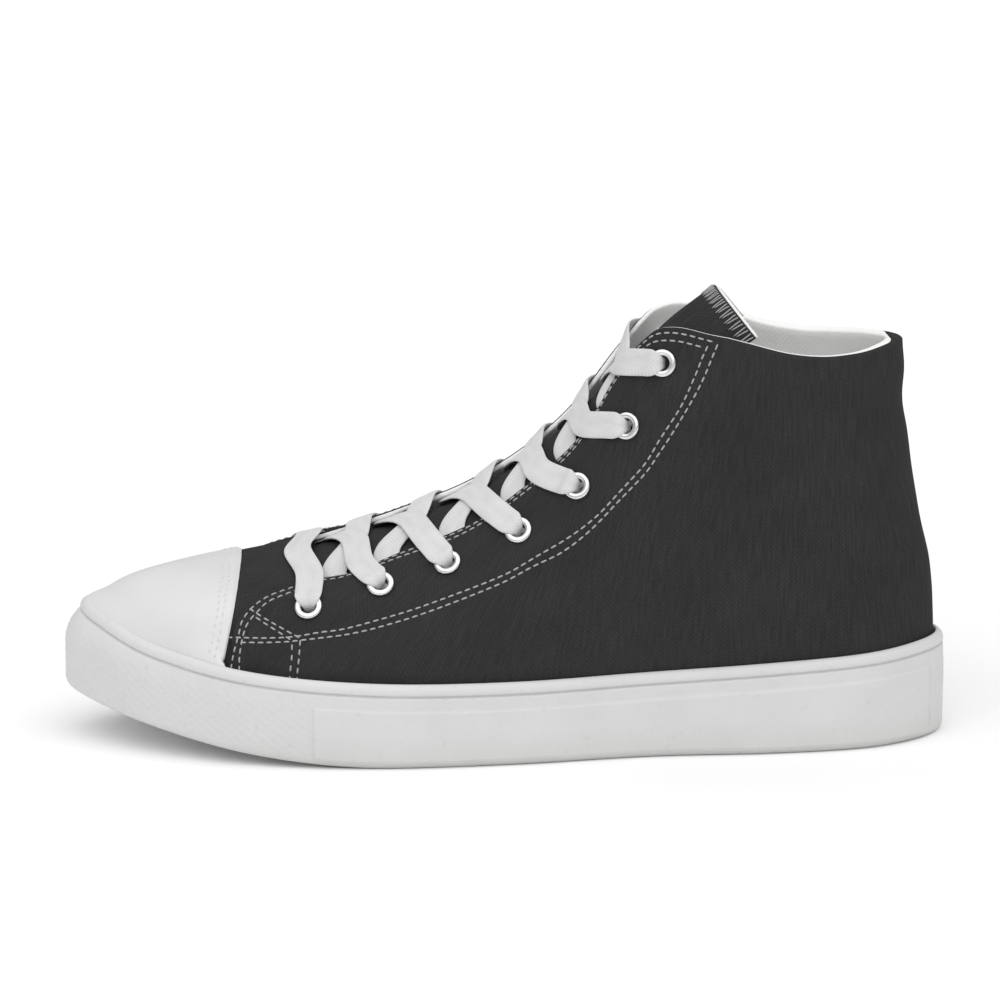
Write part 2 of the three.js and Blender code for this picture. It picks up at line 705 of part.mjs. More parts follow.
// A flat strap along knots of { point, normal }, rounded at its long edges.
function strap(knots) {
  const line = new THREE.CatmullRomCurve3(knots.map((k) => k.point), false, "centripetal");
  const ups = new THREE.CatmullRomCurve3(knots.map((k) => k.normal), false, "centripetal");
  const half = LACE.width / 2;
  const thick = LACE.thickness / 2;
  const section = [
    [half, 0],
    [0.78 * half, -thick],
    [-0.78 * half, -thick],
    [-half, 0],
    [-0.78 * half, thick],
    [0.78 * half, thick],
  ];
  const rings = Array.from({ length: LACE_STEPS + 1 }, (_, k) => {
    const t = k / LACE_STEPS;
    const along = line.getTangent(t);
    const across = new THREE.Vector3().crossVectors(ups.getPoint(t), along).normalize();
    const up = new THREE.Vector3().crossVectors(along, across);
    return section.map(([a, b]) =>
      line.getPoint(t).addScaledVector(across, a).addScaledVector(up, b),
    );
  });
  return toSolid(ringSolid(rings));
}

const lift = ({ point, normal }, by) => ({ point: point.clone().addScaledVector(normal, by), normal });

const onTongue = (u, v, by) => lift({ point: tonguePoint(u, v), normal: tongueNormal(u, v) }, by);

// The knots from the last bit of tongue, up over the eyestay's edge and on to the eyelet.
const overEyestay = (place) => [
  lift(place.edge, LACE_RISE.edge),
  lift(place.past, LACE_RISE.past),
  lift(place.eyelet, LACE_RISE.eyelet),
];

// A strap comes up beside one eyelet, runs over the tongue and goes over the other side's eyestay.
function crossingStrap(from, to, height) {
  const { lerp } = THREE.MathUtils;
  const at = (share, by) => onTongue(lerp(from.u, to.u, share), lerp(from.v, to.v, share), by);
  return strap([
    at(0, LACE_RISE.start),
    at(0.25, (LACE_RISE.start + height) / 2),
    at(0.5, height),
    at(0.9, LACE_RISE.before),
    ...overEyestay(to),
  ]);
}

function makeLaces() {
  const [lateral, medial] = lacePlaces();
  const first = strap([
    ...overEyestay(medial[0]).reverse(),
    onTongue((lateral[0].u + medial[0].u) / 2, 0, 2 * LACE_RISE.over),
    ...overEyestay(lateral[0]),
  ]);
  const meshes = [makeMesh("lace_bar_1", fromSolid(first), COLOURS.lace, 0.8)];
  for (let k = 1; k < lateral.length; k += 1) {
    const under = crossingStrap(lateral[k - 1], medial[k], LACE_RISE.alone);
    const over = crossingStrap(medial[k - 1], lateral[k], LACE_RISE.over);
    const name = `lace_cross_${k + 1}`;
    meshes.push(makeMesh(name, fromSolid(under.add(over)), COLOURS.lace, 0.8));
  }
  return meshes;
}

// ---------------------------------------------------------------- the shoe
const shoe = new THREE.Group();
shoe.add(makeMesh("sole", makeSole(), COLOURS.rubber, 0.55));
shoe.add(makeMesh("insole", makeInsole(), COLOURS.insole, 0.9));
shoe.add(makeMesh("upper", makeUpper(), COLOURS.canvas, 0.85));
shoe.add(makeMesh("toe_cap", makeToeCap(), COLOURS.toeCap, 0.45));
shoe.add(makeMesh("tongue", makeTongue(), COLOURS.canvas, 0.85));
eyeletPlaces().forEach((place) => shoe.add(makeEyelet(place)));
shoe.add(...makeLaces());

export default shoe;
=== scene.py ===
# A left high top sneaker: canvas upper, rubber cup sole and toe cap, tongue, metal eyelets and a flat
# lace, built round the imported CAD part. Shapes are worked out in millimetres, +Z up, with the toe at
# -X and the outer side at -Y, and go into Blender in metres.
import math

import bpy
import numpy as np
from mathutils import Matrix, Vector
from mathutils.bvhtree import BVHTree


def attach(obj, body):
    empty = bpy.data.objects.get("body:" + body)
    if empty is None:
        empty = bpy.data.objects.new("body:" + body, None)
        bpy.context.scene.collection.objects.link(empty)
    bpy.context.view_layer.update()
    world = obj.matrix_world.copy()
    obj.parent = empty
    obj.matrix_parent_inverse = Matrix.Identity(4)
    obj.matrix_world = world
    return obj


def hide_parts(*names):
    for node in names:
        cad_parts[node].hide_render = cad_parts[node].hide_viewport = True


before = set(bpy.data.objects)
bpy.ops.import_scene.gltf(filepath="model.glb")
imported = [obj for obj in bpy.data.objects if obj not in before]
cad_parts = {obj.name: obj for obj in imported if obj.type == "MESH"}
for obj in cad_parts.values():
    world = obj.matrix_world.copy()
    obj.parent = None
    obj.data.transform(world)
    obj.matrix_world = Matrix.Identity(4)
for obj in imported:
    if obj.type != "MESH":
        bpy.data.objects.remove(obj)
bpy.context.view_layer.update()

# ---- canvas upper
# The upper is charcoal cotton canvas over a white cotton lining, cut as a vamp and two quarters, sewn
# with double rows of thread and lasted into the cup sole. A foam roll pads the collar.
# Its surface is told by the last: the sole's outline, the top edge and the ribs that climb between.
ROUND = 20          # stations round the shoe: 0 at the heel's back, 10 at the toe's tip
HALF_LENGTH = 150.0
TOE_SPRING, SPRING_START, SPRING_POWER = 16.5, -40.0, 1.8
UPPER_INSET = 3.2   # from the sole's outline to the canvas inside the cup
WALL = 2.0          # canvas and lining together
CANVAS = 0.8        # canvas alone
FOAM = 4.0          # in the collar, at the top edge
ROLL_START = 0.9    # how far below the top edge its rounding starts
SOLE = [
    # station, lateral half width, medial half width, rim height, rim lean, thickness underfoot
    (0, -2, -2, 34.5, 0, 15),
    (1, -19, 16.5, 34, 0, 15),
    (2, -33.5, 31, 32.6, 0, 15),
    (3, -39.6, 36.5, 31, 0, 14.5),
    (4, -41.5, 37, 28.9, 0, 13.5),
    (5, -49.5, 46, 28, 0, 12),
    (6, -52.5, 52.5, 28.7, 0, 11),
    (7, -45.5, 50, 31.5, 0.6, 10.5),
    (8, -28, 39.5, 36.8, 2.6, 10.5),
    (9, -9, 22.5, 44, 4.8, 10.5),
    (10, 7, 7, 47, 6, 10.5),
]
LATERAL_EDGE = [
    # station, x, y, z of the top edge on the outer side
    (0, 134, -2, 135.5), (1, 127.8, -17, 134.6), (2, 114, -27.5, 133), (2.5, 104, -30.5, 132.8),
    (3, 92, -32.8, 134.4), (3.5, 78, -33.6, 138.2), (4, 66, -32, 141.2), (4.3, 55, -29, 143.4),
    (4.5, 49, -26.5, 142.6), (4.7, 45, -23.8, 139.2), (5, 38, -20.8, 130.4),
    (5.5, 25, -19.2, 107.2), (6, 9, -19, 91.6), (6.5, -12, -19.2, 76.6), (7, -34, -20, 67.8),
    (7.5, -50, -21, 61.4), (8, -61, -20.6, 58.2), (8.5, -67.5, -17, 58.4), (9, -71, -11, 59.8),
    (9.5, -72.6, -4, 61.4),
]
MEDIAL_EDGE = [
    # station counted from the heel on the inner side, x, y, z
    (10, -73, 3, 62.5), (9.5, -72.4, 8.5, 63), (9, -70.5, 14, 63.6), (8.5, -66.5, 18.3, 64.2),
    (8, -60, 20.6, 65.6), (7.5, -49.5, 20.8, 68.8), (7, -34, 20.4, 74.2), (6.5, -12, 20, 83),
    (6, 9, 20, 96), (5.5, 25, 20.5, 110.6), (5, 39, 22, 128.6), (4.7, 47, 24.5, 137.6),
    (4.5, 51.5, 26.5, 141.2), (4.3, 58, 28.5, 143), (4, 68, 30.5, 142), (3.5, 79, 32, 139.5),
    (3, 92, 31.2, 136), (2.5, 104, 28.7, 134.3), (2, 114, 24.8, 134.4), (1, 127.5, 13.5, 135),
]
CLIMB = [
    # station, straight rise at the foot, then the way in to the edge: back, inward, up
    (0, 44, 0.8, 0, 38), (1, 44, 0.6, 0.4, 38), (2, 42, 0, 1.6, 40), (3, 38, 2, 2.5, 44),
    (4, 32, 9, 4.5, 42), (5, 28, 10, 9, 32), (6, 24, 10, 12.5, 20), (7, 22, 12, 17, 11.5),
    (8, 26, 24, 16, 8), (9, 30, 40, 7, 8), (10, 33, 45, 0, 8),
]


def closed_column(knots, values):
    """A smooth closed curve through one column of a table."""
    knots, values = np.array(knots, float), np.array(values, float)
    x = np.concatenate([[knots[-1] - ROUND], knots, [knots[0] + ROUND, knots[1] + ROUND]])
    y = np.concatenate([[values[-1]], values, [values[0], values[1]]])
    gap = np.diff(x)
    rate = np.diff(y) / gap
    slope = (rate[:-1] * gap[1:] + rate[1:] * gap[:-1]) / (gap[1:] + gap[:-1])

    def at(station):
        place = np.mod(station, ROUND)
        i = np.searchsorted(knots, place, side="right") - 1
        span = x[i + 2] - x[i + 1]
        f = (place - x[i + 1]) / span
        return (
            y[i + 1] * (1 + 2 * f) * (1 - f) ** 2
            + y[i + 2] * f * f * (3 - 2 * f)
            + span * (slope[i] * f * (1 - f) ** 2 - slope[i + 1] * f * f * (1 - f))
        )

    return at


def both_sides(rows, column, medial=None, flip=1):
    """One column for both sides, or one for each side, as one closed curve."""
    medial = column if medial is None else medial
    back = rows[1:-1][::-1]
    knots = [r[0] for r in rows] + [ROUND - r[0] for r in back]
    return closed_column(knots, [r[column] for r in rows] + [flip * r[medial] for r in back])


edge_rows = LATERAL_EDGE + [(ROUND - r[0], *r[1:]) for r in MEDIAL_EDGE]
edge_xyz = [closed_column([r[0] for r in edge_rows], [r[c] for r in edge_rows]) for c in (1, 2, 3)]
sole_y = both_sides(SOLE, 1, 2)
rim_height, rim_lean, floor_thickness = [both_sides(SOLE, c) for c in (3, 4, 5)]
climb = [both_sides(CLIMB, 1), both_sides(CLIMB, 2), both_sides(CLIMB, 3, 3, -1), both_sides(CLIMB, 4)]


def outline(station, inset=0.0):
    """The sole's outline, moved in along its own normal."""
    station = np.asarray(station, float)

    def at(s):
        return np.stack([HALF_LENGTH * np.cos(np.pi * s / 10), sole_y(s)], -1)

    along = at(station + 0.01) - at(station - 0.01)
    along /= np.linalg.norm(along, axis=-1, keepdims=True)
    inward = np.stack([along[..., 1], -along[..., 0]], -1)
    return at(station) + inward * np.asarray(inset, float)[..., None]


def spring(x):
    """How far the toe spring lifts the sole."""
    reach = np.clip((SPRING_START - x) / (SPRING_START + HALF_LENGTH), 0, 1)
    return TOE_SPRING * reach ** SPRING_POWER


def last_point(station, t):
    """A point of the bare last: t runs from 0 in the cup to 1 at the top edge."""
    station, t = np.broadcast_arrays(np.asarray(station, float), np.asarray(t, float))
    foot = outline(station, UPPER_INSET)
    knee = outline(station, UPPER_INSET + 1.15 * rim_lean(station))
    low = spring(foot[..., 0]) + floor_thickness(station) + 0.3
    rise, back, inward, up = [c(station) for c in climb]
    p0 = np.concatenate([foot, low[..., None]], -1)
    p1 = np.concatenate([knee, (low + rise)[..., None]], -1)
    p3 = np.stack([c(station) for c in edge_xyz], -1)
    p2 = p3 - np.stack([back, inward, up], -1)
    t = t[..., None]
    u = 1 - t
    return u ** 3 * p0 + 3 * t * u * u * p1 + 3 * t * t * u * p2 + t ** 3 * p3


def unit(v):
    return v / np.linalg.norm(v, axis=-1, keepdims=True)


def last_normal(station, t):
    """The way out from the last."""
    round_ = last_point(station + 0.02, t) - last_point(station - 0.02, t)
    up = last_point(station, np.minimum(t + 0.01, 1)) - last_point(station, np.maximum(t - 0.01, 0))
    return unit(np.cross(up, round_))


def walk(points):
    """How far along a chain each of its points lies."""
    return np.concatenate([[0], np.cumsum(np.linalg.norm(np.diff(points, axis=0), axis=1))])


def smooth_step(x, low, high):
    f = np.clip((x - low) / (high - low), 0, 1)
    return f * f * (3 - 2 * f)


def side_station(station):
    """The station counted from the heel, whichever side it is on."""
    place = np.mod(station, ROUND)
    return np.minimum(place, ROUND - place)


def on_side(hand, station):
    """A station counted from the heel, on the outer side (-1) or the inner one (1)."""
    return station if hand < 0 else ROUND - station


def collar_share(station):
    """The collar's share of foam: all of it round the heel, none at the eyestay."""
    return 1 - smooth_step(side_station(station), 3, 4.1)


FOAM_PUFF, FOAM_SEAM = 0.6, 0.5     # the padded collar's swell, and the dip along its lower seam
HEEL_SWELL, WAVE = 1.4, 0.22        # the stiffened heel, and the slack cloth's slow waves
# Soft folds that the canvas has taken from wear: which side (-1 outer, 1 inner, 0 both), the station
# and t of the middle, half length and half width in mm, how deep, and the slant of its length.
FOLDS = [
    (0, 7.05, 0.36, 13, 3.5, 0.7, 62),
    (0, 6.72, 0.34, 12, 4.0, -0.5, 70),
    (0, 7.45, 0.30, 9, 3.0, 0.6, 50),
    (0, 5.25, 0.62, 16, 5.0, 0.7, 8),
    (0, 4.85, 0.40, 15, 6.0, 0.6, -20),
    (0, 3.9, 0.55, 15, 5.5, 0.7, -30),
    (-1, 2.6, 0.45, 17, 6.0, 0.8, -12),
    (1, 2.8, 0.50, 15, 6.0, 0.8, -15),
    (0, 1.6, 0.30, 14, 5.0, 0.5, 5),
    (0, 6.1, 0.35, 14, 6.0, -0.5, 30),
]


def cloth_relief(station, t, point):
    """How far the worn canvas stands off the bare last: collar foam, its seam, heel, folds, waves."""
    below = np.linalg.norm(point - last_point(station, 1.0), axis=-1)
    puff = FOAM_PUFF * np.sin(np.pi * np.clip(below / 19, 0, 1)) ** 2
    seam = FOAM_SEAM * np.exp(-(((below - 22) / 6) ** 2))
    heel = np.exp(-((side_station(station) / 1.3) ** 2) - ((point[..., 2] - 54) / 16) ** 2)
    relief = collar_share(station) * (puff - seam) + HEEL_SWELL * heel
    for side, at, level, length, width, depth, slant in FOLDS:
        for hand in (-1, 1):
            if side not in (0, hand):
                continue
            away = point - last_point(on_side(hand, at), level)
            turn = math.radians(slant)
            run = np.array([math.cos(turn), 0, math.sin(turn)])
            cross = np.array([-math.sin(turn), 0, math.cos(turn)])
            near = np.exp(-((away @ run / length) ** 2) - (away @ cross / width) ** 2)
            relief = relief - depth * near * np.exp(-((away[..., 1] / 30) ** 2))
    wave = np.sin(point[..., 0] * 0.13 + 1.1 * np.sin(point[..., 2] * 0.09))
    wave = wave * np.sin(point[..., 2] * 0.17 + 0.6) * np.sin(np.pi * np.clip(t, 0, 1))
    return relief + WAVE * wave


def upper_point(station, t, offset=0.0):
    """A point of the worn canvas's face, moved out by offset."""
    point = last_point(station, t)
    out = cloth_relief(station, t, point) + offset
    return point + last_normal(station, t) * np.asarray(out)[..., None]


def lining_depth(station, below):
    """Canvas, foam and lining together, some way below the top edge."""
    return WALL + FOAM * collar_share(station) * (1 - smooth_step(below, 12, 24))


def crowded_stations(count):
    """Stations evenly spread over the outline and the top edge together."""
    fine = np.linspace(0, ROUND, 4001)
    total = walk(outline(fine)) + walk(last_point(fine, 1.0))
    return np.interp(np.linspace(0, total[-1], count + 1)[:-1], total, fine)


def placed(name, data):
    """A new object, put into the scene."""
    made = bpy.data.objects.new(name, data)
    bpy.context.scene.collection.objects.link(made)
    return made


def make_mesh(name, points, polygons, maps):
    """One smooth closed mesh in metres, facing outwards, with a map of its surface."""
    mesh = bpy.data.meshes.new(name)
    mesh.from_pydata((points * 0.001).tolist(), [], polygons)
    mesh.uv_layers.new(name="surface").data.foreach_set("uv", np.ravel(maps))
    mesh.calc_loop_triangles()
    corners = np.empty(3 * len(mesh.loop_triangles), int)
    mesh.loop_triangles.foreach_get("vertices", corners)
    a, b, c = points[corners.reshape(-1, 3)].transpose(1, 0, 2)
    if np.einsum("ij,ij->", a, np.cross(b, c)) < 0:
        mesh.flip_normals()
    mesh.shade_smooth()
    return placed(name, mesh)


def ring_quads(count, size):
    """The corners of the quads between each ring and the next, as ring and point numbers."""
    i, j = [a.ravel() for a in np.meshgrid(np.arange(count), np.arange(size), indexing="ij")]
    return [(i, j), (i, j + 1), (i + 1, j + 1), (i + 1, j)]


def loft(name, rings, wrap=False):
    """Joins rings[k][point] of closed loops into one smooth closed mesh, with a map of its surface
    in millimetres: the loop's own length, and the length from ring to ring."""
    rings = np.asarray(rings, float)
    count, size = rings.shape[:2]
    corners = ring_quads(count if wrap else count - 1, size)
    polygons = np.stack([(a % count) * size + b % size for a, b in corners], -1).tolist()
    loop = np.concatenate([rings, rings[:, :1]], 1)
    steps = np.linalg.norm(np.diff(loop, axis=1), axis=-1).mean(0)
    across = np.concatenate([[0], np.cumsum(steps)])
    climbs = np.linalg.norm(np.diff(np.concatenate([loop, loop[:1]], 0), axis=0), axis=-1)
    along = np.concatenate([np.zeros((1, size + 1)), np.cumsum(climbs, 0)], 0)
    maps = np.stack([np.stack([across[b], along[a, b]], -1) for a, b in corners], 1).reshape(-1, 2)
    points = rings.reshape(-1, 3)
    if not wrap:
        ends = [list(range(size))[::-1], list(range((count - 1) * size, count * size))]
        polygons += ends
        maps = np.concatenate([maps] + [points[end][:, :2] for end in ends])
    return make_mesh(name, points, polygons, maps)


def join(name, objects):
    """Several objects as one piece."""
    with bpy.context.temp_override(
        active_object=objects[0], object=objects[0],
        selected_objects=objects, selected_editable_objects=objects,
    ):
        bpy.ops.object.join()
    objects[0].name = name
    objects[0].data.name = name
    return objects[0]


def combine(piece, other, operation):
    """Cuts other out of piece, or joins it on."""
    step = piece.modifiers.new("cut", "BOOLEAN")
    step.operation = operation
    step.solver = "MANIFOLD"
    step.object = other
    graph = bpy.context.evaluated_depsgraph_get()
    mesh = bpy.data.meshes.new_from_object(piece.evaluated_get(graph))
    piece.modifiers.clear()
    old = piece.data
    piece.data = mesh
    mesh.name = old.name
    bpy.data.meshes.remove(old)


def canvas_turn(stations):
    """How far over the top edge the canvas goes before the lining takes over, most at the heel."""
    return 62 + 66 * (1 - smooth_step(side_station(stations), 0.1, 0.9))


def roll_over(stations, from_angle, to_angle, steps, outer, inner):
    """Rings over the rounded top edge, from the outer face (0 degrees) to the inner one (180)."""
    base, normal = last_point(stations, 1.0), last_normal(stations, 1.0)
    up = unit(base - last_point(stations, 0.98))
    middle, half = (outer + inner) / 2, (outer - inner) / 2
    rings = []
    for share in np.linspace(0, 1, steps):
        angle = np.radians(from_angle + (to_angle - from_angle) * share)
        out = middle + half * np.cos(angle)
        lift = np.minimum(half, 1.4) * np.sin(angle) - ROLL_START
        rings.append(base + normal * out[:, None] + up * lift[:, None])
    return rings


def climb_rings(stations, levels, offset):
    """Rings on the upper at each share of the height to the roll, at an offset worked out there."""
    edge = last_point(stations, 1.0)
    length = np.linalg.norm(edge - last_point(stations, 0.95), axis=-1) / 0.05
    rings = []
    for level in levels:
        t = level * (1 - ROLL_START / length)
        below = np.linalg.norm(last_point(stations, t) - edge, axis=-1)
        rings.append(upper_point(stations, t, offset(below)))
    return rings


UPPER_COLUMNS, UPPER_ROWS = 500, 84
stations = crowded_stations(UPPER_COLUMNS)
edge_wall = lining_depth(stations, 0)
turn = canvas_turn(stations)
canvas_rings = climb_rings(stations, np.linspace(0, 1, UPPER_ROWS) ** 0.9, lambda below: 0)
canvas_rings += roll_over(stations, 0, turn, 8, 0, -edge_wall)[1:]
canvas_rings += roll_over(stations, turn, 0.4 * turn, 4, -CANVAS, CANVAS - edge_wall)
canvas_rings += climb_rings(stations, np.linspace(0.98, 0, 40), lambda below: -CANVAS)
upper = loft("upper_canvas", canvas_rings, wrap=True)

# Where the quarter's folded front edge lies over the vamp, up the outer side. The inner mirrors it.
QUARTER_FRONT = [
    # t, station
    (0.20, 7.36), (0.30, 7.42), (0.41, 7.60), (0.52, 7.79), (0.64, 7.98), (0.76, 8.14),
    (0.83, 8.15), (0.92, 8.15), (1.0, 8.15),
]
QUARTER_SECTION = [
    # how far behind the folded edge, how far proud of the vamp: it sinks into the canvas behind
    (0, 0.1), (0.12, 0.45), (0.35, 0.66), (0.7, 0.75), (1.2, 0.75), (2.2, 0.72), (3.4, 0.72),
    (5, 0.72), (7, 0.6), (9, 0.3), (11, 0.05), (12.5, -0.15),
]
front_t, front_station = [np.array(c) for c in zip(*QUARTER_FRONT)]
behind_edge, proud = [np.array(c) for c in zip(*QUARTER_SECTION)]
quarters = []
for hand in (-1, 1):
    loops = []
    for t in np.linspace(0.2, 0.975, 64):
        start = np.interp(t, front_t, front_station)
        probe = np.linspace(start, start - 1.0, 81)
        walked = walk(last_point(on_side(hand, probe), t))
        reach = np.minimum(behind_edge, walked[-1] - 0.1)
        place = on_side(hand, np.interp(reach, walked, probe))
        inner = upper_point(place, t, -0.35)
        loops.append(np.concatenate([upper_point(place, t, proud), inner[::-1]]))
    quarters.append(loft("quarter_edge", loops))

# The eyelets' places: how far up the throat's edge each pair stands, from the throat's front corner,
# and how far it is from the edge; where the lace comes over the edge to it, and out from under it.
EYELET_ROWS = [
    # lateral, medial, over, under, from the edge
    (-2, -4.5, -5.5, 2, 15.5),
    (15.8, 15.8, 12, 20.5, 11.8),
    (39.7, 39.7, 36, 44, 12.5),
    (63.9, 63.9, 60, 68, 14),
    (87.4, 87.4, 80, 91, 15.3),
    (110.8, 110.8, 102, 113, 15),
    (140, 140, 127, 135, 10.8),
]
BORE = 2.5


def edge_stations(side, column):
    """Stations along the throat's edge at each row's distance from its front corner."""
    fine = np.arange(8.8, 4.0, -0.005)
    fine_side = on_side(side, fine)
    walked = walk(last_point(fine_side, 1.0))
    walked -= np.interp(-8, -fine, walked)
    return [float(np.interp(row[column], walked, fine_side)) for row in EYELET_ROWS]


def walk_from_edge(station, distance):
    """A walk over the upper from the throat's edge, square to it."""
    tangent = unit(last_point(station + 0.01, 1.0) - last_point(station - 0.01, 1.0))
    s, t, walked = station, 1.0, 0.0
    while walked < distance:
        here = last_point(s, t)
        round_ = (last_point(s + 0.01, t) - here) @ tangent / 0.01
        down = (last_point(s, t - 0.01) - here) @ tangent / 0.01
        t -= 0.004
        s -= 0.004 * down / round_
        walked += float(np.linalg.norm(last_point(s, t) - here))
    return s, t


eyelets = {}
for side in (-1, 1):
    for k, station in enumerate(edge_stations(side, 0 if side < 0 else 1)):
        s, t = walk_from_edge(station, EYELET_ROWS[k][4])
        eyelets[side, k] = {
            "station": s, "t": t, "point": upper_point(s, t), "normal": last_normal(s, t),
        }


def hoop(centre, first, second, count):
    """Points round an ellipse, from its centre and its half axes."""
    angles = np.linspace(0, 2 * math.pi, count, endpoint=False)[:, None]
    return centre + first * np.cos(angles) + second * np.sin(angles)


def turned(profile, count, place):
    """Rings of a profile of (radius, height) turned round an eyelet's axis."""
    axis = place["normal"]
    first = unit(np.cross(axis, [0.0, 0.0, 1.0]))
    second = np.cross(axis, first)
    return [hoop(place["point"] + axis * h, first * r, second * r, count) for r, h in profile]


HOLE = BORE + 0.35
punch = [(HOLE, 9), (HOLE, -12)]
cutters = join("holes", [loft("hole", turned(punch, 20, place)) for place in eyelets.values()])
for layer in quarters:
    combine(upper, layer, "UNION")
combine(upper, cutters, "DIFFERENCE")

# Plain-woven cotton canvas, dyed charcoal: threads about half a millimetre apart, drawn at twice that
# so that they can be seen, with slubs that run up the shoe, a dull surface and pale dust in the weave.


def linear(code):
    """An sRGB hex colour as the linear one that a shader takes."""
    parts = [int(code[k:k + 2], 16) / 255 for k in (0, 2, 4)]
    return [p / 12.92 if p <= 0.04045 else ((p + 0.055) / 1.055) ** 2.4 for p in parts] + [1.0]


def plug(tree, socket, value):
    """Gives an input a value, or another node's output."""
    if isinstance(value, bpy.types.NodeSocket):
        tree.links.new(value, socket)
    else:
        socket.default_value = value


def add_node(tree, kind, inputs=None, **settings):
    """One node, with its settings, and its inputs as values or as other nodes' outputs."""
    made = tree.nodes.new(kind)
    for name, value in settings.items():
        setattr(made, name, value)
    for name, value in (inputs or {}).items():
        plug(tree, made.inputs[name], value)
    return made


def ramp(tree, factor, stops):
    """A colour ramp with (position, colour) stops."""
    made = add_node(tree, "ShaderNodeValToRGB", {0: factor})
    elements = made.color_ramp.elements
    while len(elements) < len(stops):
        elements.new(0.5)
    for element, (position, colour) in zip(elements, stops):
        element.position = position
        element.color = linear(colour)
    return made.outputs[0]


def surface_map(tree, across, along):
    """The surface's millimetres, stretched by a number of repeats per millimetre each way."""
    place = add_node(tree, "ShaderNodeUVMap", uv_map="surface").outputs[0]
    stretch = {0: place, 1: (across, along, 1.0)}
    return add_node(tree, "ShaderNodeVectorMath", stretch, operation="MULTIPLY").outputs[0]


def math_node(tree, operation, *values):
    return add_node(tree, "ShaderNodeMath", dict(enumerate(values)), operation=operation).outputs[0]


def weave(tree, pitch):
    """Over-and-under threads at a pitch in millimetres: high where a thread comes over."""
    place = surface_map(tree, math.pi / pitch, math.pi / pitch)
    split = add_node(tree, "ShaderNodeSeparateXYZ", {0: place}).outputs
    return math_node(tree, "MULTIPLY", *[math_node(tree, "SINE", split[k]) for k in (0, 1)])


def noise(tree, vector, detail=2.0, scale=1.0):
    inputs = {"Vector": vector, "Scale": scale, "Detail": detail}
    return add_node(tree, "ShaderNodeTexNoise", inputs).outputs[0]


def solid_place(tree):
    """The place in the piece itself, in metres."""
    return add_node(tree, "ShaderNodeTexCoord").outputs["Object"]


def remapped(tree, value, low, high, first, last):
    """A value between low and high as one between first and last."""
    inputs = {0: value, 1: low, 2: high, 3: first, 4: last}
    return add_node(tree, "ShaderNodeMapRange", inputs).outputs[0]


def multiplied(tree, first, second, factor=1.0):
    """A colour multiplied by a second one, as much as factor says."""
    inputs = {0: factor, 6: first, 7: second}
    return add_node(tree, "ShaderNodeMix", inputs, data_type="RGBA", blend_type="MULTIPLY").outputs[2]


def material(name, colour, roughness, height=None, depth=0.0001, strength=1.0, **fixed):
    """A shader in the tree that colour, roughness and height build, with fixed values by name."""
    made = bpy.data.materials.new(name)
    made.use_nodes = True
    tree = made.node_tree
    shader = tree.nodes["Principled BSDF"]
    for socket, value in (("Base Color", colour(tree)), ("Roughness", roughness)):
        plug(tree, shader.inputs[socket], value(tree) if callable(value) else value)
    for socket, value in fixed.items():
        shader.inputs[socket.replace("_", " ")].default_value = value
    if height is not None:
        inputs = {"Height": height(tree), "Distance": depth, "Strength": strength}
        plug(tree, shader.inputs["Normal"], add_node(tree, "ShaderNodeBump", inputs).outputs[0])
    return made


def canvas_colour(tree):
    slubs = noise(tree, surface_map(tree, 1.3, 0.10), 3.0)
    fine = noise(tree, surface_map(tree, 0.5, 1.6), 1.0)
    patches = noise(tree, surface_map(tree, 0.03, 0.04), 2.0)
    streaks = ramp(tree, slubs, [(0.28, "333334"), (0.5, "393939"), (0.74, "3f3f3f")])
    grains = ramp(tree, fine, [(0.25, "ececec"), (0.7, "ffffff")])
    threads = ramp(tree, weave(tree, 0.8), [(0.2, "e0e0e0"), (0.8, "ffffff")])
    worn = ramp(tree, patches, [(0.3, "eeeeee"), (0.7, "ffffff")])
    made = multiplied(tree, multiplied(tree, streaks, grains), threads, 0.7)
    return multiplied(tree, made, worn)


def canvas_height(tree):
    slubs = noise(tree, surface_map(tree, 1.3, 0.10), 3.0)
    return math_node(tree, "MULTIPLY_ADD", slubs, 2.0, weave(tree, 0.8))


canvas = material(
    "charcoal_cotton_canvas", canvas_colour, 0.92, canvas_height, 0.00008, 0.35,
    Specular_IOR_Level=0.12, IOR=1.5,
)


def finish_piece(piece, surface, slot, *nodes):
    """The piece's material, the body it rides on and the CAD nodes it stands for. Its slot is not used.
    """
    piece.data.materials.clear()
    piece.data.materials.append(surface)
    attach(piece, "root")
    if nodes:
        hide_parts(*nodes)


finish_piece(upper, canvas, "upper_canvas", "upper")

# ---- lining
# White cotton drill sewn inside the whole upper, rolled out over the topline so that a pale line of it
# shows. Under it at the collar lies the foam.
lining_stations = crowded_stations(400)
lining_levels = np.linspace(0, 0.985, 44)
lining_rings = climb_rings(lining_stations, lining_levels, lambda below: -CANVAS - 0.25)
lining_rings += roll_over(
    lining_stations, canvas_turn(lining_stations) + 3, 180, 7, 0, -lining_depth(lining_stations, 0)
)
lining_rings += climb_rings(
    lining_stations, lining_levels[::-1], lambda below: -lining_depth(lining_stations, below)
)
lining = loft("upper_lining", lining_rings, wrap=True)
combine(lining, cutters, "DIFFERENCE")
for used in quarters + [cutters]:
    bpy.data.objects.remove(used)


def lining_colour(tree):
    threads = ramp(tree, weave(tree, 0.9), [(0.1, "f2f2f1"), (0.9, "fbfbfa")])
    patches = ramp(tree, noise(tree, surface_map(tree, 0.05, 0.05)), [(0.3, "f8f8f7"), (0.7, "ffffff")])
    return multiplied(tree, threads, patches)


lining_cloth = material(
    "white_cotton_lining", lining_colour, 0.95, lambda tree: weave(tree, 0.9), 0.00006, 0.3,
    Specular_IOR_Level=0.2, IOR=1.5,
)
finish_piece(lining, lining_cloth, "insole_cloth")

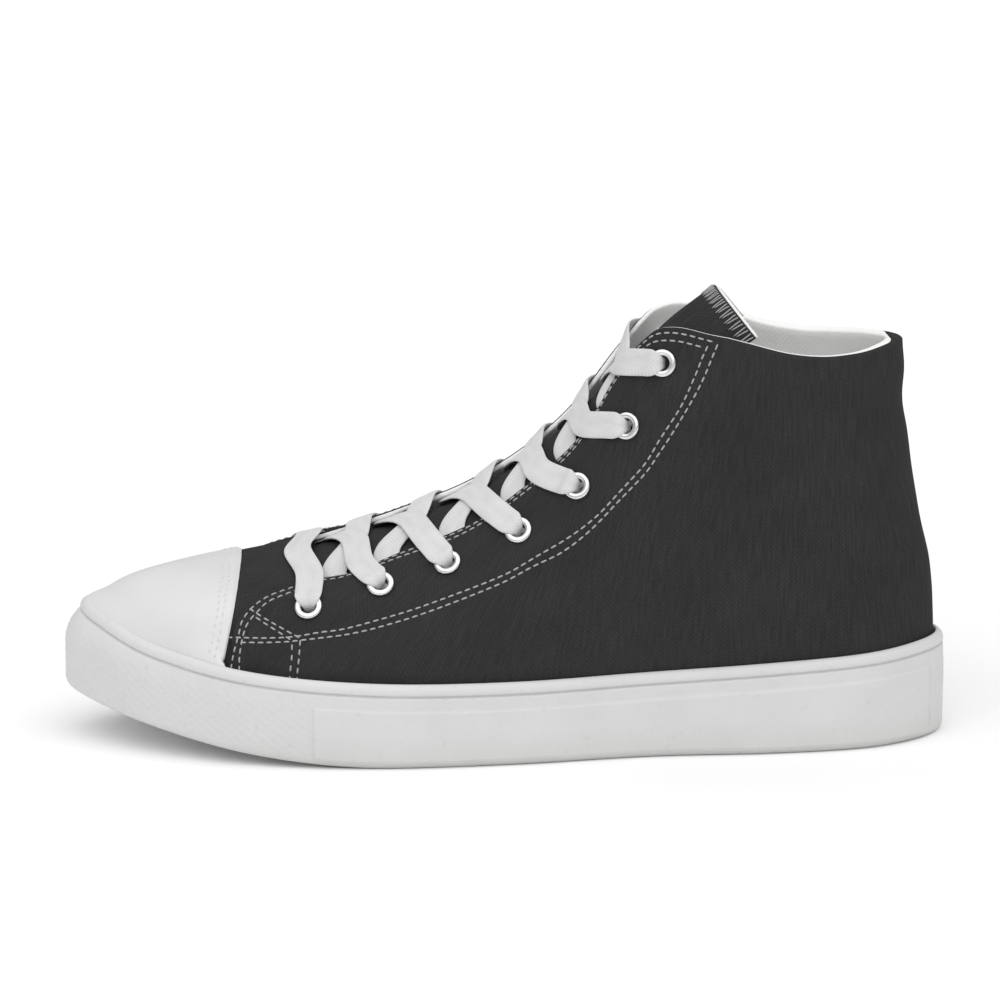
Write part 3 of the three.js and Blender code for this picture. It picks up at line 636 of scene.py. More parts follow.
# ---- seams
# Double rows of pale grey polyester thread, eight or nine stitches to the inch, each stitch pulled a
# little into the canvas. The rows are told on the outer side and mirrored on the inner one.
STITCH, STITCH_GAP, THREAD = 2.1, 0.8, 0.3
SEAMS = [
    # station, t of each point along a row
    [(8.10, 0.955), (8.10, 0.83), (8.06, 0.76), (7.9, 0.64), (7.72, 0.52), (7.54, 0.41), (7.32, 0.23),
     (7.28, 0.19)],
    [(7.93, 0.90), (7.92, 0.74), (7.76, 0.61), (7.64, 0.51), (7.48, 0.40), (7.24, 0.23), (7.20, 0.19)],
    [(7.60, 0.405), (7.58, 0.41), (7.1, 0.45), (6.92, 0.47), (6.78, 0.48), (6.52, 0.51), (6.22, 0.52),
     (5.76, 0.53), (5.4, 0.53), (5.0, 0.52), (4.64, 0.56), (4.34, 0.65), (4.22, 0.73), (4.12, 0.81),
     (4.06, 0.89), (4.03, 0.94), (4.00, 0.975)],
    [(7.47, 0.385), (7.44, 0.39), (7.12, 0.42), (6.86, 0.44), (6.72, 0.45), (6.44, 0.47), (6.16, 0.48),
     (5.7, 0.50), (5.34, 0.50), (4.96, 0.49), (4.62, 0.54), (4.32, 0.63), (4.2, 0.70), (4.1, 0.78),
     (3.99, 0.88), (3.94, 0.94), (3.90, 0.985)],
    [(7.94, 0.64), (7.02, 0.44)],
    [(7.70, 0.57), (7.08, 0.43)],
    [(7.02, 0.44), (6.86, 0.33), (6.72, 0.21)],
    [(7.06, 0.42), (6.92, 0.33), (6.78, 0.21)],
]
EDGE_SEAMS = [
    # from station, to station, how far below the edge
    (8.10, 3.95, 2.0),
    (7.92, 4.05, 4.6),
]


def at_marks(rows, marks):
    """A chain's rows, which start with x, y, z, told anew at marks along it."""
    walked = walk(rows[:, :3])
    return np.stack([np.interp(marks, walked, column) for column in rows.T], -1)


def between(a, b, c, d, f):
    """A share f of the way from b to c on a Catmull-Rom curve."""
    return b + 0.5 * f * (c - a + f * (2 * a - 5 * b + 4 * c - d + f * (3 * (b - c) + d - a)))


def smooth_chain(rows, steps):
    """A smooth curve through the rows of a table."""
    rows = np.asarray(rows, float)
    padded = np.concatenate([rows[:1], rows, rows[-1:]])
    shares = np.linspace(0, 1, steps, endpoint=False)[:, None]
    spans = [between(*padded[k:k + 4], shares) for k in range(len(rows) - 1)]
    return np.concatenate(spans + [rows[-1:]])


def thread_loops(centre, along, up, length, thick):
    """Rings of one short rounded stitch of thread that dips into the cloth at both ends."""
    across = np.cross(up, along)
    rings = []
    for f in (-1, -0.86, -0.5, 0, 0.5, 0.86, 1):
        size = thick * (0.25 if abs(f) == 1 else 0.75 if abs(f) > 0.8 else 1)
        lift = 0.45 * thick * (1 - f * f * 1.9)
        middle = centre + along * (f * length / 2) + up * lift
        rings.append(hoop(middle, across * size, up * size * 0.8, 8))
    return rings


def sewn_row(points, normals, length, gap, thick):
    """Stitches along a chain of points."""
    whole = walk(points)[-1]
    count = max(int(whole / (length + gap)), 1)
    marks = (np.arange(count) + 0.5) * whole / count
    rows = at_marks(np.concatenate([points, normals], 1), marks)
    threads = []
    for k, row in enumerate(rows):
        ahead = rows[min(k + 1, len(rows) - 1)][:3] - rows[max(k - 1, 0)][:3]
        up = unit(row[3:])
        along = unit(ahead - up * (ahead @ up))
        threads.append(thread_loops(row[:3], along, up, length, thick))
    return threads


def lofted_together(name, all_rings):
    """Many small closed lofts with equal rings as one mesh."""
    rings = np.asarray(all_rings, float)
    pieces, count, size = rings.shape[:3]
    corners = ring_quads(count - 1, size)
    one = np.stack([a * size + b % size for a, b in corners], -1).tolist()
    one += [list(range(size))[::-1], list(range((count - 1) * size, count * size))]
    polygons = [[v + n * count * size for v in face] for n in range(pieces) for face in one]
    maps = np.stack([np.stack([b / size, a], -1) for a, b in corners], 1).reshape(-1, 2)
    caps = [(k / size, 0) for k in range(2 * size)]
    maps = np.tile(np.concatenate([maps, caps]), (pieces, 1))
    return make_mesh(name, rings.reshape(-1, 3), polygons, maps)


upper_skin = BVHTree.FromObject(upper, bpy.context.evaluated_depsgraph_get())


def rest_on(skin, points, normals):
    """Points moved along their normals on to a mesh's outer face."""
    rested = []
    for point, normal in zip(points, normals):
        hit = skin.ray_cast(Vector((point + 3 * normal) * 0.001), Vector(-normal))[0]
        rested.append(point if hit is None else np.array(hit) * 1000)
    return np.array(rested)


stitches = []
for hand in (-1, 1):
    chains = [smooth_chain(row, 12) for row in SEAMS]
    for start, stop, depth in EDGE_SEAMS:
        places = np.linspace(start, stop, 160)
        rib = last_point(on_side(hand, places), 1.0) - last_point(on_side(hand, places), 0.96)
        t = 1 - 0.04 * depth / np.linalg.norm(rib, axis=-1)
        chains.append(np.stack([places, t], -1))
    for chain in chains:
        s, t = on_side(hand, chain[:, 0]), chain[:, 1]
        normals = last_normal(s, t)
        points = rest_on(upper_skin, upper_point(s, t), normals)
        stitches += sewn_row(points, normals, STITCH, STITCH_GAP, THREAD)
seams = lofted_together("seam_stitches", stitches)


def sewing_thread(name, dark, light):
    """Twisted polyester thread, its plies between two colours."""

    def plies(tree):
        return ramp(tree, noise(tree, surface_map(tree, 6.0, 1.5)), [(0.3, dark), (0.7, light)])

    def twist(tree):
        return noise(tree, surface_map(tree, 8.0, 3.0))

    return material(name, plies, 0.6, twist, 0.0001, 0.5, Specular_IOR_Level=0.4, IOR=1.55)


thread = sewing_thread("grey_polyester_thread", "8c8c8d", "b4b4b4")
finish_piece(seams, thread, "lace_cotton")

# ---- cup sole
# One moulding of white rubber with a gloss worn to satin: a flat tread with flex grooves, a side wall
# with a low panel proud of it, a groove and a bead below the rim, and fine diamonds at toe and heel.
SOLE_COLUMNS = 980
WALL_ROWS = 40
CUP_WALL = 2.9
GROOVE_BELOW = 4.0
PANEL = {"below": 8.6, "front": -66.0, "back": 143.0, "proud": 0.8}
KNURL = {"along": 2.1, "up": 1.5, "height": 0.17}
TREAD = {"depth": 2.0, "width": 2.4, "margin": 9.0, "pitch": 9.0}
TREAD_SPANS = [(128, 62), (20, -44)]

fine = np.linspace(0, ROUND, 4001)
walked = walk(outline(fine))
# columns stand twice as close round the toe, where the diamonds are
crowding = 1 + 1.2 * (outline(fine[:-1])[:, 0] < PANEL["front"] + 2)
shares = np.concatenate([[0], np.cumsum(np.diff(walked) * crowding)])
sole_stations = np.interp(np.linspace(0, shares[-1], SOLE_COLUMNS + 1)[:-1], shares, fine)
sole_arc = np.interp(sole_stations, fine, walked)
ground = spring(outline(sole_stations)[:, 0])
rim = rim_height(sole_stations)


def sole_ring(inset, height, lean=0.0):
    """The outline moved in by inset, and by a share of the rim's lean, at a height."""
    flat_ring = outline(sole_stations, inset + lean * rim_lean(sole_stations))
    return np.concatenate([flat_ring, np.asarray(height)[:, None]], -1)


sole_rings = [
    sole_ring(3.0, spring(outline(sole_stations, 3.0)[:, 0])),
    sole_ring(1.9, ground + 0.08),
    sole_ring(1.0, ground + 0.55),
    sole_ring(0.5, ground + 1.4),
]
panel_line = rim - PANEL["below"]
across_x = outline(sole_stations)[:, 0]
in_panel = smooth_step(across_x, PANEL["front"] - 0.4, PANEL["front"] + 0.4)
in_panel *= 1 - smooth_step(across_x, PANEL["back"] - 0.3, PANEL["back"] + 0.3)
in_knurl = 1 - smooth_step(across_x, PANEL["front"] - 2.6, PANEL["front"] - 2.0)
in_heel_patch = smooth_step(across_x, PANEL["back"] + 1.0, PANEL["back"] + 1.6)
top_of_wall = rim - GROOVE_BELOW - 0.9
wall_levels = [(0, f) for f in np.linspace(0, 1, WALL_ROWS)] + [(1, f) for f in (0.04, 0.3, 0.6, 1)]
for above, f in wall_levels:
    bottom, top = (panel_line, top_of_wall) if above else (ground + 2.6, panel_line - 0.2)
    height = bottom * (1 - f) + top * f
    middle = (ground + rim) / 2
    below_middle = np.clip((height - ground) / (middle - ground), 0, 1)
    above_middle = np.clip((height - middle) / (rim - 4.5 - middle), 0, 1)
    inset = 0.25 * (1 - below_middle) + 0.3 * above_middle ** 2
    lean = 0.05 * below_middle + 0.70 * above_middle ** 2
    panel = in_panel * (0 if above else 1 - 0.25 * (f == 1))
    inset = inset - PANEL["proud"] * panel
    a, b = sole_arc * math.pi / KNURL["along"] / 2, height * math.pi / KNURL["up"] / 2
    diamonds = np.clip(np.abs(np.sin(a + b) * np.sin(a - b)) * 1.6, 0, 1)
    top_fade = 1 - smooth_step(height, rim - GROOVE_BELOW - 3.4, rim - GROOVE_BELOW - 2.6)
    knurled = in_knurl + in_heel_patch * (1 - smooth_step(height, panel_line - 1.2, panel_line - 0.6))
    inset = inset - KNURL["height"] * diamonds * knurled * top_fade
    sole_rings.append(sole_ring(inset, height, lean))
for below, inset, lean in (
    (GROOVE_BELOW + 0.5, 0.34, 0.76), (GROOVE_BELOW + 0.3, 0.85, 0.78), (GROOVE_BELOW, 1.15, 0.8),
    (GROOVE_BELOW - 0.3, 0.85, 0.82), (GROOVE_BELOW - 0.5, 0.36, 0.85), (GROOVE_BELOW - 1.0, 0.22, 0.88),
    (2.2, 0.3, 0.92), (1.4, 0.6, 0.95), (0.75, 1.1, 0.98), (0.3, 1.65, 1.0), (0.05, 2.2, 1.0),
    (0.0, 2.65, 1.0), (0.35, CUP_WALL, 1.0), (3.0, CUP_WALL, 1.0),
):
    sole_rings.append(sole_ring(inset, rim - below, lean))
cup_floor = spring(outline(sole_stations, CUP_WALL)[:, 0]) + floor_thickness(sole_stations)
sole_rings += [sole_ring(CUP_WALL, cup_floor), sole_ring(12.0, cup_floor)]
sole = loft("cup_sole", sole_rings)

bars = []
for start, stop in TREAD_SPANS:
    for k in range(int((start - stop) / TREAD["pitch"]) + 1):
        x = start - k * TREAD["pitch"]
        s = math.acos(x / HALF_LENGTH) * 10 / math.pi
        ends = [outline(np.array(q), TREAD["margin"])[1] for q in (s, ROUND - s)]
        half = TREAD["width"] / 2
        deep = TREAD["depth"]
        square = [(x - half, -1.0), (x + half, -1.0), (x + half, deep), (x - half, deep)]
        bars.append(loft("bar", [[(px, y, pz) for px, pz in square] for y in ends]))
bars = join("bars", bars)
combine(sole, bars, "DIFFERENCE")
bpy.data.objects.remove(bars)


def rubber_colour(tree):
    place = solid_place(tree)
    mottle = ramp(tree, noise(tree, place, 4.0, 60.0), [(0.3, "cecece"), (0.7, "d2d2d2")])
    specks = ramp(tree, noise(tree, place, 5.0, 420.0), [(0.2, "e8e8e7"), (0.4, "ffffff")])
    # The rubber is a touch darker over the lowest 12 mm of the sole, towards the ground.
    height = add_node(tree, "ShaderNodeSeparateXYZ", {0: place}).outputs[2]
    low = remapped(tree, height, 0.0, 0.012, 0.0, 1.0)
    darker_low = ramp(tree, low, [(0.0, "f4f4f2"), (1.0, "ffffff")])
    return multiplied(tree, multiplied(tree, mottle, specks, 0.5), darker_low)


def rubber_roughness(tree):
    return remapped(tree, noise(tree, solid_place(tree), 3.0, 90.0), 0.3, 0.7, 0.42, 0.56)


def rubber_height(tree):
    return noise(tree, solid_place(tree), 3.0, 900.0)


rubber = material(
    "white_moulded_rubber", rubber_colour, rubber_roughness, rubber_height, 0.00005, 0.35, IOR=1.52,
)
finish_piece(sole, rubber, "sole_rubber", "sole")

# ---- insole
# A sock liner of white cotton on thin foam, cut to the cup and glued down, hardly seen through the
# collar. Its edge is rounded.
insole_stations = np.linspace(0, ROUND, 241)[:-1]


def insole_ring(inset, rise):
    """The sole's outline moved in, some way above the cup's floor."""
    flat_ring = outline(insole_stations, inset)
    level = spring(flat_ring[:, 0]) + floor_thickness(insole_stations) + 0.3 + rise
    return np.concatenate([flat_ring, level[:, None]], -1)


insole_edge = [(7, 0), (5.8, 0), (5.7, 1.5), (5.75, 2.8), (6.1, 3.5), (6.9, 3.95), (8.5, 4), (16, 4)]
insole = loft("insole_liner", [insole_ring(inset, rise) for inset, rise in insole_edge])
finish_piece(insole, lining_cloth, "insole_cloth", "insole")

# ---- toe cap
# A separate cap of smooth white rubber-coated cloth over the toe, cemented to the canvas and sewn down
# along its rear edge with two rows of thread.
CAP = {"low": -95.6, "lean": 0.215, "from": 32.0, "under": 0.3, "thick": 1.0}


def step_to(station, start, test):
    """The first t on a rib, walking up from start, at which test holds."""
    t = np.arange(start, 1.0, 0.001)
    hit = np.nonzero(test(last_point(station, t)))[0]
    return float(t[hit[0]]) if len(hit) else 1.0


def seam_x(point):
    """Where the cap's rear seam is at a point's height."""
    return CAP["low"] + (point[:, 2] - CAP["from"]) * CAP["lean"]


def beside(station, x):
    """The station of the sole's outline at x, on the same side of the shoe."""
    counted = np.arccos(np.clip(x / HALF_LENGTH, -1, 1)) * 10 / math.pi
    return counted if station <= 10 else ROUND - counted


def cap_span(station):
    """Where the cap starts and ends on a rib: the sole's rim, and the seam behind it."""
    low = step_to(station, 0.0, lambda p: p[:, 2] > rim_height(beside(station, p[:, 0])) + 0.2)
    return low, step_to(station, low, lambda p: p[:, 0] > seam_x(p))


first = next(s for s in np.arange(7.0, 9.0, 0.01) if np.diff(cap_span(s))[0] > 0.012)
final = next(s for s in np.arange(13.0, 11.0, -0.01) if np.diff(cap_span(s))[0] > 0.012)
cap_rings = []
for station in np.linspace(first, final, 170):
    low, high = cap_span(station)
    t = np.linspace(low, high, 44)
    point, normal = last_point(station, t), last_normal(station, t)
    risen = walk(point)
    left = risen[-1] - risen
    face = CAP["under"] + CAP["thick"] * np.sqrt(1 - (1 - np.minimum(left, 1)) ** 2)
    outer = point + normal * face[:, None]
    # its foot is tucked against the inside of the sole's rim
    off_tip = smooth_step(abs(station - 10), 0.8, 2.2)
    near_by = station + (beside(station, point[0, 0]) - station) * off_tip
    inset = 1.2 + (CUP_WALL - 1.3) * off_tip + rim_lean(near_by)
    foot = np.append(outline(near_by, inset), rim_height(near_by) - 1.2 + 0.7 * off_tip)
    outer += (foot - outer[0]) * (1 - smooth_step(risen, 0, min(9, 0.7 * risen[-1])))[:, None]
    cap_rings.append(np.concatenate([outer, (point + normal * CAP["under"])[::-1]]))
toe_cap = loft("toe_cap_shell", cap_rings)


def cap_colour(tree):
    return ramp(tree, noise(tree, solid_place(tree), 3.0, 45.0), [(0.3, "d3d3d3"), (0.7, "d7d7d7")])


cap_rubber = material(
    "smooth_white_rubber", cap_colour, rubber_roughness, rubber_height, 0.00004, 0.25,
    IOR=1.52, Coat_Weight=0.08, Coat_Roughness=0.4,
)
finish_piece(toe_cap, cap_rubber, "toe_cap_rubber", "toe_cap")

# Two rows of white thread along the cap's rear edge.
cap_rows = []
cap_skin = BVHTree.FromObject(toe_cap, bpy.context.evaluated_depsgraph_get())
for inset in (2.7, 4.7):
    chain = []
    for station in np.linspace(first + 0.06, final - 0.06, 120):
        low, high = cap_span(station)
        t = np.linspace(low, high, 60)
        point = last_point(station, t)
        where = np.nonzero(point[:, 0] < seam_x(point) - inset)[0]
        if len(where) and where[-1] < 59:
            at = t[where[-1]]
            normal = last_normal(station, at)
            chain.append(np.concatenate([last_point(station, at) + normal * 1.3, normal]))
    chain = np.array(chain)
    chain[:, :3] = rest_on(cap_skin, chain[:, :3], chain[:, 3:])
    cap_rows += sewn_row(chain[:, :3], chain[:, 3:], 1.6, 1.3, 0.24)
cap_seam = lofted_together("toe_cap_stitches", cap_rows)
cap_thread = sewing_thread("white_polyester_thread", "cccccc", "dedede")
finish_piece(cap_seam, cap_thread, "lace_cotton")

# ---- tongue
# A long panel of the same canvas with a white cotton backing, sewn under the vamp. Its free top edge
# is bound by an overlock in grey thread.
TONGUE = [
    # x, y, z of the ridge, radius of the bend, reach round it on each side, tilt to the outer side
    (-96, 1.5, 55, 53, 19, 8.6), (-74, 1.5, 59.1, 52, 23, 8.6), (-42, 0, 68.6, 48, 26.5, 7.5),
    (-21, -0.3, 76, 43, 27.3, 6), (0, -0.4, 88, 36, 28.5, 5), (18, 0, 102.4, 33.5, 29.5, 2),
    (32, 0.5, 117, 33, 31, -1), (44, 0.8, 130.2, 31, 32, -1.5), (57, 0.7, 142.2, 28, 33, -1),
    (71, 0.5, 153.6, 25.5, 33, 0),
]
tongue_table = np.array(TONGUE, float)


def tongue_row(u):
    """The table's values at u, from 0 under the vamp to 1 at the free top."""
    place = np.clip(u, 0, 1) * (len(TONGUE) - 1)
    k = int(min(math.floor(place), len(TONGUE) - 2))
    rows = [tongue_table[min(max(k + i, 0), len(TONGUE) - 1)] for i in (-1, 0, 1, 2)]
    return between(*rows, place - k)


def tongue_point(u, v, depth=0.0):
    """A point of the tongue and its normal: v runs from -1 on the outer side to 1."""
    row = tongue_row(u)
    along = unit(tongue_row(min(u + 0.004, 1))[:3] - tongue_row(max(u - 0.004, 0))[:3])
    tilt = math.radians(row[5])
    start = np.array([0.0, 1.0, 0.0])
    across = (
        start * math.cos(tilt) + np.cross(along, start) * math.sin(tilt)
        + along * (along @ start) * (1 - math.cos(tilt))
    )
    out = unit(np.cross(along, across))
    v, depth = np.asarray(v, float), np.asarray(depth, float)
    angle = (v * row[4] / row[3])[..., None]
    normal = across * np.sin(angle) + out * np.cos(angle)
    point = row[:3] - out * row[3] + normal * (row[3] - depth[..., None])
    return point, normal


def tongue_layer(name, top, bottom, top_u=1.0):
    """One layer of the tongue between two depths, its side edges rounded, sunk a little at the sides."""
    middle, v = (top + bottom) / 2, np.linspace(-1, 1, 56)
    edge = np.sqrt(1 - np.clip((np.abs(v) - 0.965) / 0.035, 0, 1) ** 2)
    loops = []
    for u in np.concatenate([np.linspace(0, 0.99, 110), [0.995, 0.999, 1.0]]):
        shrink = 0.0 if u < 0.991 else (0.18 if u < 0.997 else 0.55 if u < 1 else 0.85)
        u = u * top_u
        half = (bottom - top) / 2 * (1 - shrink) * (0.08 + 0.92 * edge)
        sink = smooth_step(np.abs(v), 0.5, 0.9) * (1 - smooth_step(u, 0.8, 0.95))
        sink = sink + 0.25 * np.sin(u * 34) * np.cos(v * 2.4)
        upper_side = tongue_point(u, v, middle - half + sink)[0]
        lower_side = tongue_point(u, v, middle + half + sink)[0]
        loops.append(np.concatenate([upper_side, lower_side[::-1]]))
    return loft(name, loops)


tongue = tongue_layer("tongue_canvas_panel", 0.0, 1.5, top_u=0.992)
finish_piece(tongue, canvas, "tongue_canvas", "tongue")
tongue_lining = tongue_layer("tongue_lining", 1.55, 2.6)
finish_piece(tongue_lining, lining_cloth, "insole_cloth")

# The overlock: close bars of thread over the top edge, each with its loop down the outer face.
BAR_PITCH = 1.45
bars = []
tongue_skin = BVHTree.FromObject(tongue, bpy.context.evaluated_depsgraph_get())
reach = tongue_row(1.0)[4]
for k in range(int(2 * reach / BAR_PITCH)):
    v = -1 + (k + 0.5) * BAR_PITCH / reach
    depth_u = 0.03 + 0.004 * (k % 2)
    shift = 0.25 * BAR_PITCH / reach * (-1) ** k
    rings = []
    for f in np.linspace(0, 1, 7):
        u = 0.988 - depth_u * (1 - f)
        centre, normal = tongue_point(u, v + shift * (1 - f), 0.0)
        centre = rest_on(tongue_skin, [centre], [normal])[0] + normal * 0.12
        ahead = unit(tongue_point(min(u + 0.002, 1), v, 0)[0] - tongue_point(u - 0.002, v, 0)[0])
        across = np.cross(normal, ahead)
        size = 0.24 * (0.5 if f in (0.0, 1.0) else 1)
        rings.append(hoop(centre, across * size, normal * size, 8))
    bars.append(rings)
overlock = lofted_together("tongue_overlock", bars)
finish_piece(overlock, thread, "lace_cotton")

# ---- eyelets
# Fourteen rolled brass eyelets, nickel plated and bright: a domed flange on the canvas, a short barrel
# through it and a curl behind the lining.
FLANGE, LIP = 4.7, 1.15
back = -(WALL + 1.5)
profile = [(BORE + 0.1, back)]
for angle in np.radians(np.linspace(-90, 90, 6)):
    profile.append((3.5 + 0.5 * math.cos(angle), back + 0.3 + 0.3 * math.sin(angle)))
profile += [(2.85, back + 0.7), (2.8, -0.3)]
profile += [(3.2, 0.15), (FLANGE - 0.25, 0.1)]
centre_r, half_r = (FLANGE + BORE) / 2, (FLANGE - BORE) / 2
for angle in np.radians(np.linspace(0, 180, 12)):
    profile.append((centre_r + half_r * math.cos(angle), 0.25 + LIP * 0.85 * math.sin(angle) ** 0.8))
profile += [(BORE - 0.02, -0.8)]
eyelet_set = join("eyelet_set", [
    loft("eyelet", turned(profile, 36, place), wrap=True) for place in eyelets.values()
])


def metal_colour(tree):
    return ramp(tree, noise(tree, solid_place(tree), 3.0, 300.0), [(0.3, "d0d0d2"), (0.7, "e6e6e8")])


def metal_roughness(tree):
    return remapped(tree, noise(tree, solid_place(tree), 3.0, 700.0), 0.3, 0.7, 0.16, 0.3)


nickel = material("nickel_plated_brass", metal_colour, metal_roughness, Metallic=1.0)
finish_piece(
    eyelet_set, nickel, "eyelet_metal",
    *[f"eyelet_{side}_{k}" for side in ("lateral", "medial") for k in range(1, 8)],
)

# ---- lace
# A flat woven cotton lace, white, about nine millimetres wide: one straight bar at the front, then
# crossings that come up from under one eyestay, over the tongue, and down through the eyelet opposite.
FLAT = (9.4, 1.3)   # the lace's width and thickness where nothing squeezes it
us, vs = np.linspace(0, 1, 201), np.linspace(-1, 1, 41)
grid = np.array([tongue_point(u, vs)[0] for u in us])
places = {}
for side in (-1, 1):
    over, under = edge_stations(side, 2), edge_stations(side, 3)
    for k in range(len(EYELET_ROWS)):
        edge_point = last_point(under[k], 1.0)
        i, j = np.unravel_index(np.linalg.norm(grid - edge_point, axis=-1).argmin(), grid.shape[:2])
        inward = 6.5 / tongue_row(us[i])[4]
        places[side, k] = {
            "u": us[i], "v": vs[j] - math.copysign(inward, vs[j]), "over": over[k], "under": under[k],
        }


def on_tongue(u, v, lift):
    """A knot over the tongue. All knots are point, up, width, thickness."""
    point, up = tongue_point(u, v)
    return point + up * lift, up, *FLAT


def beside_eyelet(side, k, name):
    """An eyelet and its normal, the edge beside it and its normal, and the way from edge to eyelet."""
    station = places[side, k][name]
    q, n = eyelets[side, k]["point"], eyelets[side, k]["normal"]
    edge, edge_up = last_point(station, 1.0), last_normal(station, 1.0)
    heading = q - edge
    return q, n, edge, edge_up, unit(heading - n * (heading @ n))


def over_the_edge(side, k):
    """Knots from above the eyestay's edge to inside the eyelet."""
    q, n, edge, edge_up, heading = beside_eyelet(side, k, "over")
    knots = [(edge + edge_up * 1.7, edge_up, *FLAT)]
    for share in (0.35, 0.62):
        up = unit(edge_up * (1 - share) + n * share)
        ground_point = rest_on(upper_skin, [edge * (1 - share) + q * share], [up])[0]
        knots.append((ground_point + up * 0.95, up, *FLAT))
    return knots + [
        (q - heading * 3.7 + n * 1.75, n, 9.2, 1.3),
        (q - heading * 1.7 + n * 1.9, unit(n + 0.2 * heading), 8.0, 1.3),
        (q - heading * 0.6 + n * 0.7, unit(n + 2 * heading), 5.0, 1.7),
        (q - heading * 0.6 - n * 1.2, heading, 3.8, 1.8),
        (q - heading * 0.5 - n * 3.2, heading, 3.8, 1.8),
    ]


def from_below(side, k):
    """Knots from inside an eyelet, behind the eyestay, to where the lace comes out on the tongue."""
    q, n, edge, edge_up, heading = beside_eyelet(side, k, "under")
    half = (places[side, k]["under"] + eyelets[side, k]["station"]) / 2
    t = (1 + eyelets[side, k]["t"]) / 2
    middle, middle_up = last_point(half, t), last_normal(half, t)
    return [
        (q - n * 2.2 - heading * 0.4, -heading, 4.1, 2.0),
        (q - n * 3.2 - heading * 0.8, unit(n - heading), 4.6, 1.8),
        (q - n * 3.9 - heading * 2.6, n, 6.4, 1.4),
        (middle - middle_up * 3.3, middle_up, 8.6, 1.2),
        (edge - edge_up * 3.0, edge_up, *FLAT),
    ]


def eased(knots, spacing=0.5, reach=1.15):
    """Knots joined by straight runs at an even spacing, then rounded over a reach in millimetres."""
    numbers = np.array([np.concatenate([p, u, [w, t]]) for p, u, w, t in knots])
    whole = walk(numbers[:, :3])[-1]
    chain = at_marks(numbers, np.linspace(0, whole, int(whole / spacing) + 1))
    span = int(3 * reach / spacing)
    weights = np.exp(-0.5 * (np.arange(-span, span + 1) * spacing / reach) ** 2)
    weights /= weights.sum()
    before = 2 * chain[0] - chain[span:0:-1]
    after = 2 * chain[-1] - chain[-2:-span - 2:-1]
    longer = np.concatenate([before, chain, after])
    return np.stack([np.convolve(longer[:, c], weights, mode="valid") for c in range(8)], -1)


def ribbon(knots):
    """A flat lace along knots, with full rounded edges and a slight hollow down its middle."""
    chain = eased(knots)
    from_start = np.arange(len(chain))[:, None] * 0.5
    near_end = np.minimum(from_start, from_start[::-1])
    chain += (eased(knots, reach=4.2) - chain) * smooth_step(near_end, 7, 15)
    turns = np.linspace(0, 2 * math.pi, 24, endpoint=False)
    a = np.sign(np.cos(turns)) * np.abs(np.cos(turns)) ** 0.5
    b = np.sign(np.sin(turns)) * np.abs(np.sin(turns)) ** 0.8
    b *= 1 - 0.14 * np.exp(-((a / 0.5) ** 2))
    rings = []
    for row, ahead in zip(chain, unit(np.gradient(chain[:, :3], axis=0))):
        across = unit(np.cross(row[3:6], ahead))
        up = np.cross(ahead, across)
        rings.append(row[:3] + np.outer(a * row[6] / 2, across) + np.outer(b * row[7] / 2, up))
    return loft("strap", rings)


def crossing(side, k, heights):
    """A strap from eyelet k - 1 on a side to eyelet k on the other, at heights above the tongue."""
    start, end = places[side, k - 1], places[-side, k]
    knots = from_below(side, k - 1)
    for share, lift in zip((0.0, 0.25, 0.5), heights):
        u = start["u"] + (end["u"] - start["u"]) * share * 0.86
        v = start["v"] + (end["v"] - start["v"]) * share
        knots.append(on_tongue(u, v, lift))
    return ribbon(knots + over_the_edge(-side, k))


edge_x = [last_point(places[side, 0]["over"], 1.0)[0] for side in (-1, 1)]
front_u = us[np.abs(grid[:, 20, 0] - (sum(edge_x) / 2 - 4.5)).argmin()]
straps = [ribbon(over_the_edge(1, 0)[::-1] + [on_tongue(front_u, 0.0, 4.0)] + over_the_edge(-1, 0))]
for k in range(1, len(EYELET_ROWS)):
    straps.append(crossing(-1, k, (0.85, 0.85, 0.85)))
    # this one lies over the other
    straps.append(crossing(1, k, (1.55, 2.7, 2.3)))
lace = join("flat_lace", straps)


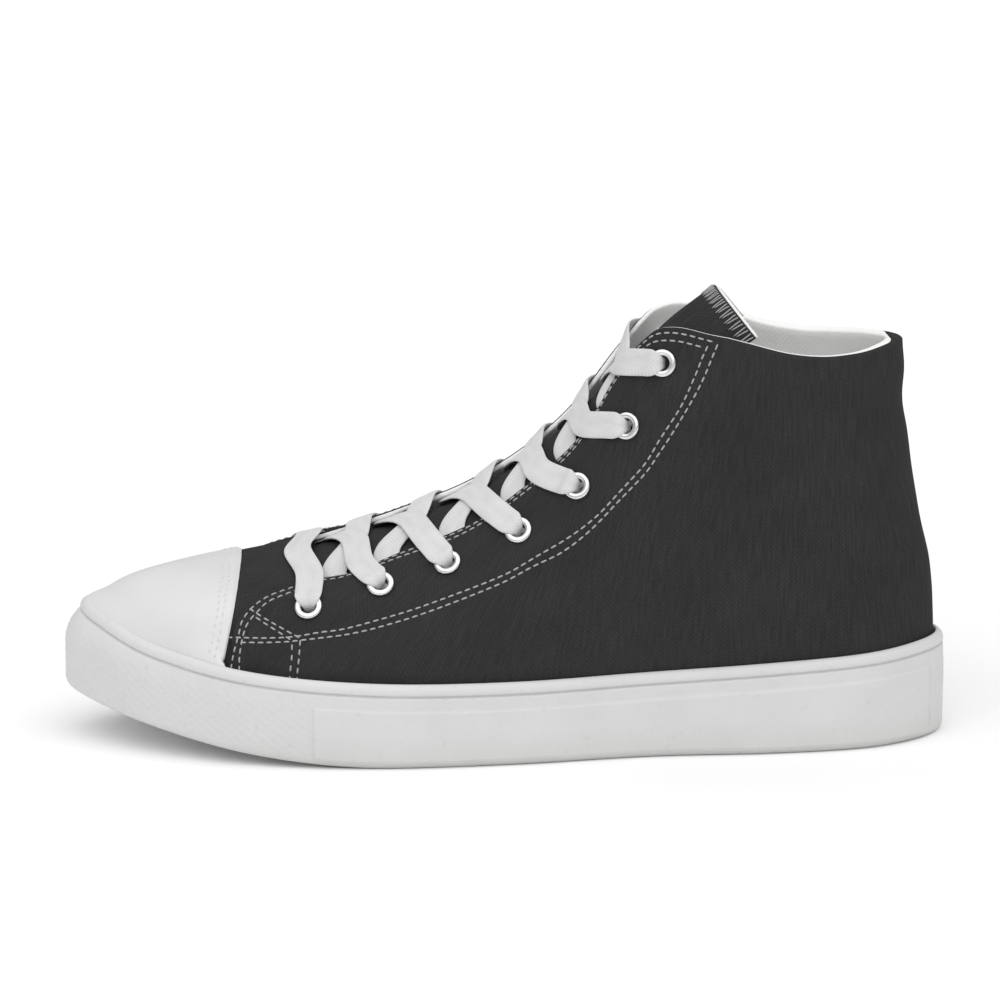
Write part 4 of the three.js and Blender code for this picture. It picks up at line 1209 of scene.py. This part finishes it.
def lace_colour(tree):
    rows = ramp(tree, weave(tree, 0.7), [(0.1, "d3d3d3"), (0.9, "dfdfdf")])
    soft = ramp(tree, noise(tree, surface_map(tree, 0.4, 0.1)), [(0.3, "f4f4f4"), (0.7, "ffffff")])
    return multiplied(tree, rows, soft)


def lace_height(tree):
    return math_node(tree, "ADD", weave(tree, 0.7), noise(tree, surface_map(tree, 1.2, 0.3)))


cotton = material(
    "white_woven_cotton_lace", lace_colour, 0.9, lace_height, 0.00006, 0.35,
    Specular_IOR_Level=0.25, Sheen_Weight=0.1, Sheen_Roughness=0.5, IOR=1.5,
)
finish_piece(lace, cotton, "lace_cotton", "lace_bar_1", *[f"lace_cross_{k}" for k in range(2, 8)])

# ---- floor, lights and camera
# A pale plain sheet under soft studio light: a wide lamp overhead and one from the front, with an even
# near-white surround.
floor_mesh = bpy.data.meshes.new("floor")
floor_mesh.from_pydata([(-9, -9, 0), (9, -9, 0), (9, 30, 0), (-9, 30, 0)], [], [(0, 1, 2, 3)])


def floor_colour(tree):
    return ramp(tree, noise(tree, solid_place(tree), 2.0, 1.5), [(0.3, "fcfcfc"), (0.7, "fefefe")])


floor_mesh.materials.append(material("white_paper", floor_colour, 0.95, Specular_IOR_Level=0.1))
placed("floor", floor_mesh)

LAMPS = [
    # name, tilt to the front and to the right in degrees, strength, spread in degrees
    ("ceiling", 22, 0, 2.05, 100),
    ("window", 65, -30, 0.12, 60),
]
for name, front, right, strength, spread in LAMPS:
    lamp = bpy.data.lights.new(name, "SUN")
    lamp.energy = strength
    lamp.angle = math.radians(spread)
    placed(name, lamp).rotation_euler = (math.radians(front), math.radians(right), 0)

world = bpy.data.worlds.new("studio")
world.use_nodes = True
surround = world.node_tree.nodes["Background"].inputs
surround["Color"].default_value = (1.0, 1.0, 1.0, 1.0)
surround["Strength"].default_value = 0.46
bpy.context.scene.world = world
bpy.context.scene.view_settings.view_transform = "Standard"

camera_data = bpy.data.cameras.new("camera")
camera_data.lens = 157.68
camera_data.sensor_width = 36
camera = placed("camera", camera_data)
camera.location = (-0.07792, -1.45226, 0.37578)
camera.rotation_euler = [math.radians(a) for a in (78.5, 0, -3)]
bpy.context.scene.camera = camera
